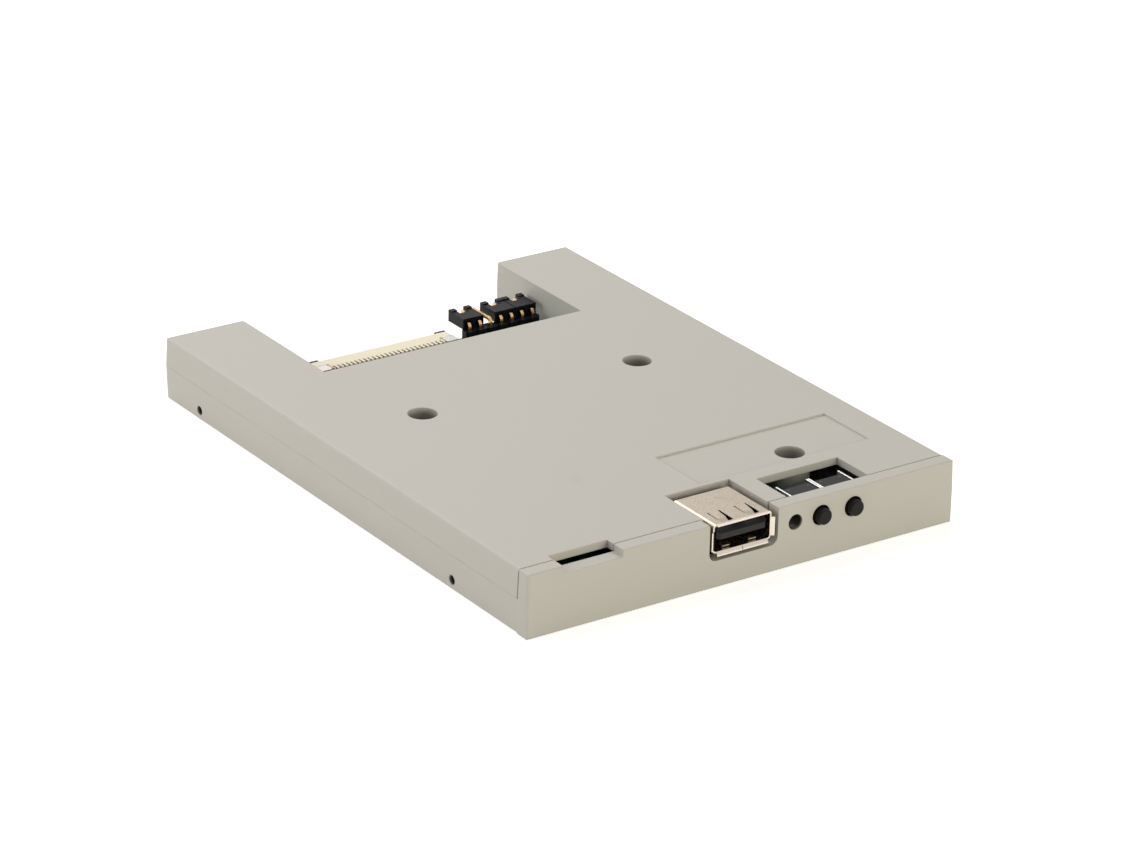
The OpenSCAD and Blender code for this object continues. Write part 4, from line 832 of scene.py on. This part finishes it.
class EMULATOR_OT_finish_board(bpy.types.Operator):
    """Finish the board in green mask over tracks, and add the solder joints under it"""

    bl_idname = "emulator.finish_board"
    bl_label = "Finish Board"

    def execute(self, context):
        looks = context.scene.emulator_looks
        board, metal = looks.board, looks.metal
        dress(solder_mask("board_mask", board, *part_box("usb_shell")), "main_board")
        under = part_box("main_board")[0].z
        solder = plated_metal("solder", metal.tin_color, metal, 0.22, stain_share=0.08, along=(1, 1, 1))
        pin_count = 7
        pins_low, pins_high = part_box("header_pins")
        first_x, tail_y = pins_low.x + board.pin_half, pins_low.y + board.pin_half
        pitch = (pins_high.x - pins_low.x - 2 * board.pin_half) / (pin_count - 1)
        places = [Vector((first_x + pitch * pin, tail_y, under)) for pin in range(pin_count)]
        bpy.ops.mesh.primitive_circle_add(
            vertices=ROUND_CORNERS, radius=board.joint_radius, fill_type="NGON"
        )
        joint = start_shaping("joint")
        bpy.ops.mesh.select_all(action="SELECT")
        drop_and_width_shares = ((0.1, 0.93), (0.22, 0.78), (0.3, 0.82), (0.38, 0.9))
        for drop, width in drop_and_width_shares:
            step = (0, 0, -drop * board.joint_height)
            bpy.ops.mesh.extrude_region_move(TRANSFORM_OT_translate={"value": step})
            bpy.ops.transform.resize(value=(width, width, 1), center_override=(0, 0, 0))
        stop_shaping()
        joints = repeat(joint, places, "header_solder_joints")
        finish_piece(joints, solder, "case")
        return {"FINISHED"}


class EMULATOR_OT_finish_ribbon(bpy.types.Operator):
    """Finish the ribbon connector's cream housing and its dark lock"""

    bl_idname = "emulator.finish_ribbon"
    bl_label = "Finish Ribbon Connector"

    def execute(self, context):
        dark = context.scene.emulator_looks.dark
        cream = slit_plastic("cream_plastic", dark, 0.4, 0.4, *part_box("ribbon_housing"))
        dress(cream, "ribbon_housing")
        lock = moulded_plastic("lock_plastic", dark.switch_color, dark, 0.42)
        dress(lock, "ribbon_lock")
        return {"FINISHED"}


class EMULATOR_OT_finish_header(bpy.types.Operator):
    """Finish the pin header's base and the three jumper caps on it"""

    bl_idname = "emulator.finish_header"
    bl_label = "Finish Pin Header"

    def execute(self, context):
        dark = context.scene.emulator_looks.dark
        black = moulded_plastic("cap_plastic", dark.cap_color, dark, 0.45)
        dress(black, "header_base", "left_jumper_cap", "middle_jumper_cap", "right_jumper_cap")
        return {"FINISHED"}


class EMULATOR_OT_finish_inner_parts(bpy.types.Operator):
    """Finish the chips, capacitors, resistors and regulator on the board"""

    bl_idname = "emulator.finish_inner_parts"
    bl_label = "Finish Inner Parts"

    def execute(self, context):
        looks = context.scene.emulator_looks
        metal, dark = looks.metal, looks.dark
        epoxy = moulded_plastic("chip_epoxy", dark.chip_color, dark, 0.6)
        dress(epoxy, "controller_chip", "buffer_chips", "voltage_regulator")
        low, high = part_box("smoothing_capacitors")
        middle = (low + high) / 2
        foot_top, lid = low.z + metal.can_foot, high.z - metal.can_lid
        cans = canned_capacitor("can_aluminium", metal, foot_top, lid, middle.x - metal.can_mark)
        dress(cans, "smoothing_capacitors")
        low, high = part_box("chip_resistors")
        dress(banded_chip("chip_resistor_glaze", metal, (low.y + high.y) / 2), "chip_resistors")
        return {"FINISHED"}


class EMULATOR_OT_set_stage(bpy.types.Operator):
    """Set the pale floor, the even studio light and the camera"""

    bl_idname = "emulator.set_stage"
    bl_label = "Set Stage"

    def execute(self, context):
        scene = context.scene
        studio = scene.emulator_looks.studio
        self.lay_floor(studio)
        self.light_sky(scene, studio)
        lamps = (
            ("rear_lamp", studio.rear_place, studio.rear_size, studio.rear_power, studio.rear_color),
            ("left_lamp", studio.left_place, studio.left_size, studio.left_power, studio.left_color),
            ("front_lamp", studio.front_place, studio.front_size, studio.front_power, studio.front_color),
        )
        for lamp in lamps:
            self.hang_lamp(scene, *lamp)
        self.place_camera(scene, studio)
        scene.view_settings.view_transform = "Standard"
        return {"FINISHED"}

    def lay_floor(self, studio):
        """A sheet of pale paper, whitened for what looks at it and not for the light on the object."""
        bpy.ops.mesh.primitive_plane_add(size=studio.floor_size)
        floor = bpy.context.object
        floor.name = "studio_floor"
        finish = Finish("floor_paper")
        paper = finish.shade(studio.floor_color, 1 + finish.swing(studio.fibre_size) * 0.02)
        matt = finish.node("BsdfDiffuse", None, {"Color": paper})
        lift = finish.seen_directly() * studio.floor_lift
        white = finish.node("Emission", None, {"Color": (1, 1, 1), "Strength": lift})
        both = finish.node("AddShader", None, {0: matt.outputs[0], 1: white.outputs[0]})
        finish.node("OutputMaterial", None, {"Surface": both.outputs[0]})
        floor.data.materials.append(finish.material)

    def light_sky(self, scene, studio):
        """Even light from all round, which is plain white where it is seen directly."""
        finish = Finish("studio_sky", sky=True)
        sockets = {"Value": finish.seen_directly(), "To Min": studio.sky_level, "To Max": 1.0}
        level = finish.node("MapRange", None, sockets).outputs["Result"]
        sky = finish.node("Background", None, {"Strength": level})
        finish.node("OutputWorld", None, {"Surface": sky.outputs[0]})
        scene.world = finish.material

    def hang_lamp(self, scene, name, place, size, power, color):
        """A soft square lamp, turned towards the object."""
        lamp = bpy.data.lights.new(name, "AREA")
        lamp.size = size
        lamp.energy = power
        lamp.color = color
        holder = bpy.data.objects.new(name, lamp)
        holder.location = place
        holder.rotation_euler = (-holder.location).to_track_quat("-Z", "Y").to_euler()
        scene.collection.objects.link(holder)

    def place_camera(self, scene, studio):
        """The camera, turned round its target by azimuth and elevation, then rolled."""
        azimuth, elevation, roll = studio.camera_azimuth, studio.camera_elevation, studio.camera_roll
        flat = math.cos(elevation)
        back = Vector((math.sin(azimuth) * flat, -math.cos(azimuth) * flat, math.sin(elevation)))
        right = Vector((math.cos(azimuth), math.sin(azimuth), 0))
        up = back.cross(right)
        side = right * math.cos(roll) + up * math.sin(roll)
        top = up * math.cos(roll) - right * math.sin(roll)
        camera = bpy.data.cameras.new("studio_camera")
        camera.lens = studio.lens
        camera.sensor_width = studio.sensor_width
        holder = bpy.data.objects.new("studio_camera", camera)
        turned = Matrix((side, top, back)).transposed().to_4x4()
        place = Vector(studio.camera_target) + back * studio.camera_distance
        holder.matrix_world = Matrix.Translation(place) @ turned
        scene.collection.objects.link(holder)
        scene.camera = holder


OPERATORS = (
    EMULATOR_OT_finish_case,
    EMULATOR_OT_finish_socket,
    EMULATOR_OT_finish_switches,
    EMULATOR_OT_finish_buttons,
    EMULATOR_OT_finish_lamp,
    EMULATOR_OT_finish_board,
    EMULATOR_OT_finish_ribbon,
    EMULATOR_OT_finish_header,
    EMULATOR_OT_finish_inner_parts,
    EMULATOR_OT_set_stage,
)


class EMULATOR_PT_looks(bpy.types.Panel):
    """The looks and the steps, in the sidebar."""

    bl_idname = "EMULATOR_PT_looks"
    bl_label = "Drive Emulator"
    bl_space_type = "VIEW_3D"
    bl_region_type = "UI"
    bl_category = "Emulator"

    def draw(self, context):
        looks = context.scene.emulator_looks
        for group in (looks.case, looks.metal, looks.dark, looks.board, looks.studio):
            box = self.layout.box()
            for name in group.__annotations__:
                box.prop(group, name)
        for operator in OPERATORS:
            self.layout.operator(operator.bl_idname)


GROUPS = (CaseLook, MetalLook, DarkLook, BoardLook, StudioLook, EmulatorLooks)
CLASSES = GROUPS + OPERATORS + (EMULATOR_PT_looks,)


def register():
    for item in CLASSES:
        bpy.utils.register_class(item)
    bpy.types.Scene.emulator_looks = PointerProperty(type=EmulatorLooks)


def unregister():
    del bpy.types.Scene.emulator_looks
    for item in reversed(CLASSES):
        bpy.utils.unregister_class(item)


def main():
    register()
    bpy.ops.emulator.finish_case()
    bpy.ops.emulator.finish_socket()
    bpy.ops.emulator.finish_switches()
    bpy.ops.emulator.finish_buttons()
    bpy.ops.emulator.finish_lamp()
    bpy.ops.emulator.finish_board()
    bpy.ops.emulator.finish_ribbon()
    bpy.ops.emulator.finish_header()
    bpy.ops.emulator.finish_inner_parts()
    bpy.ops.emulator.set_stage()


if __name__ == "__main__":
    main()
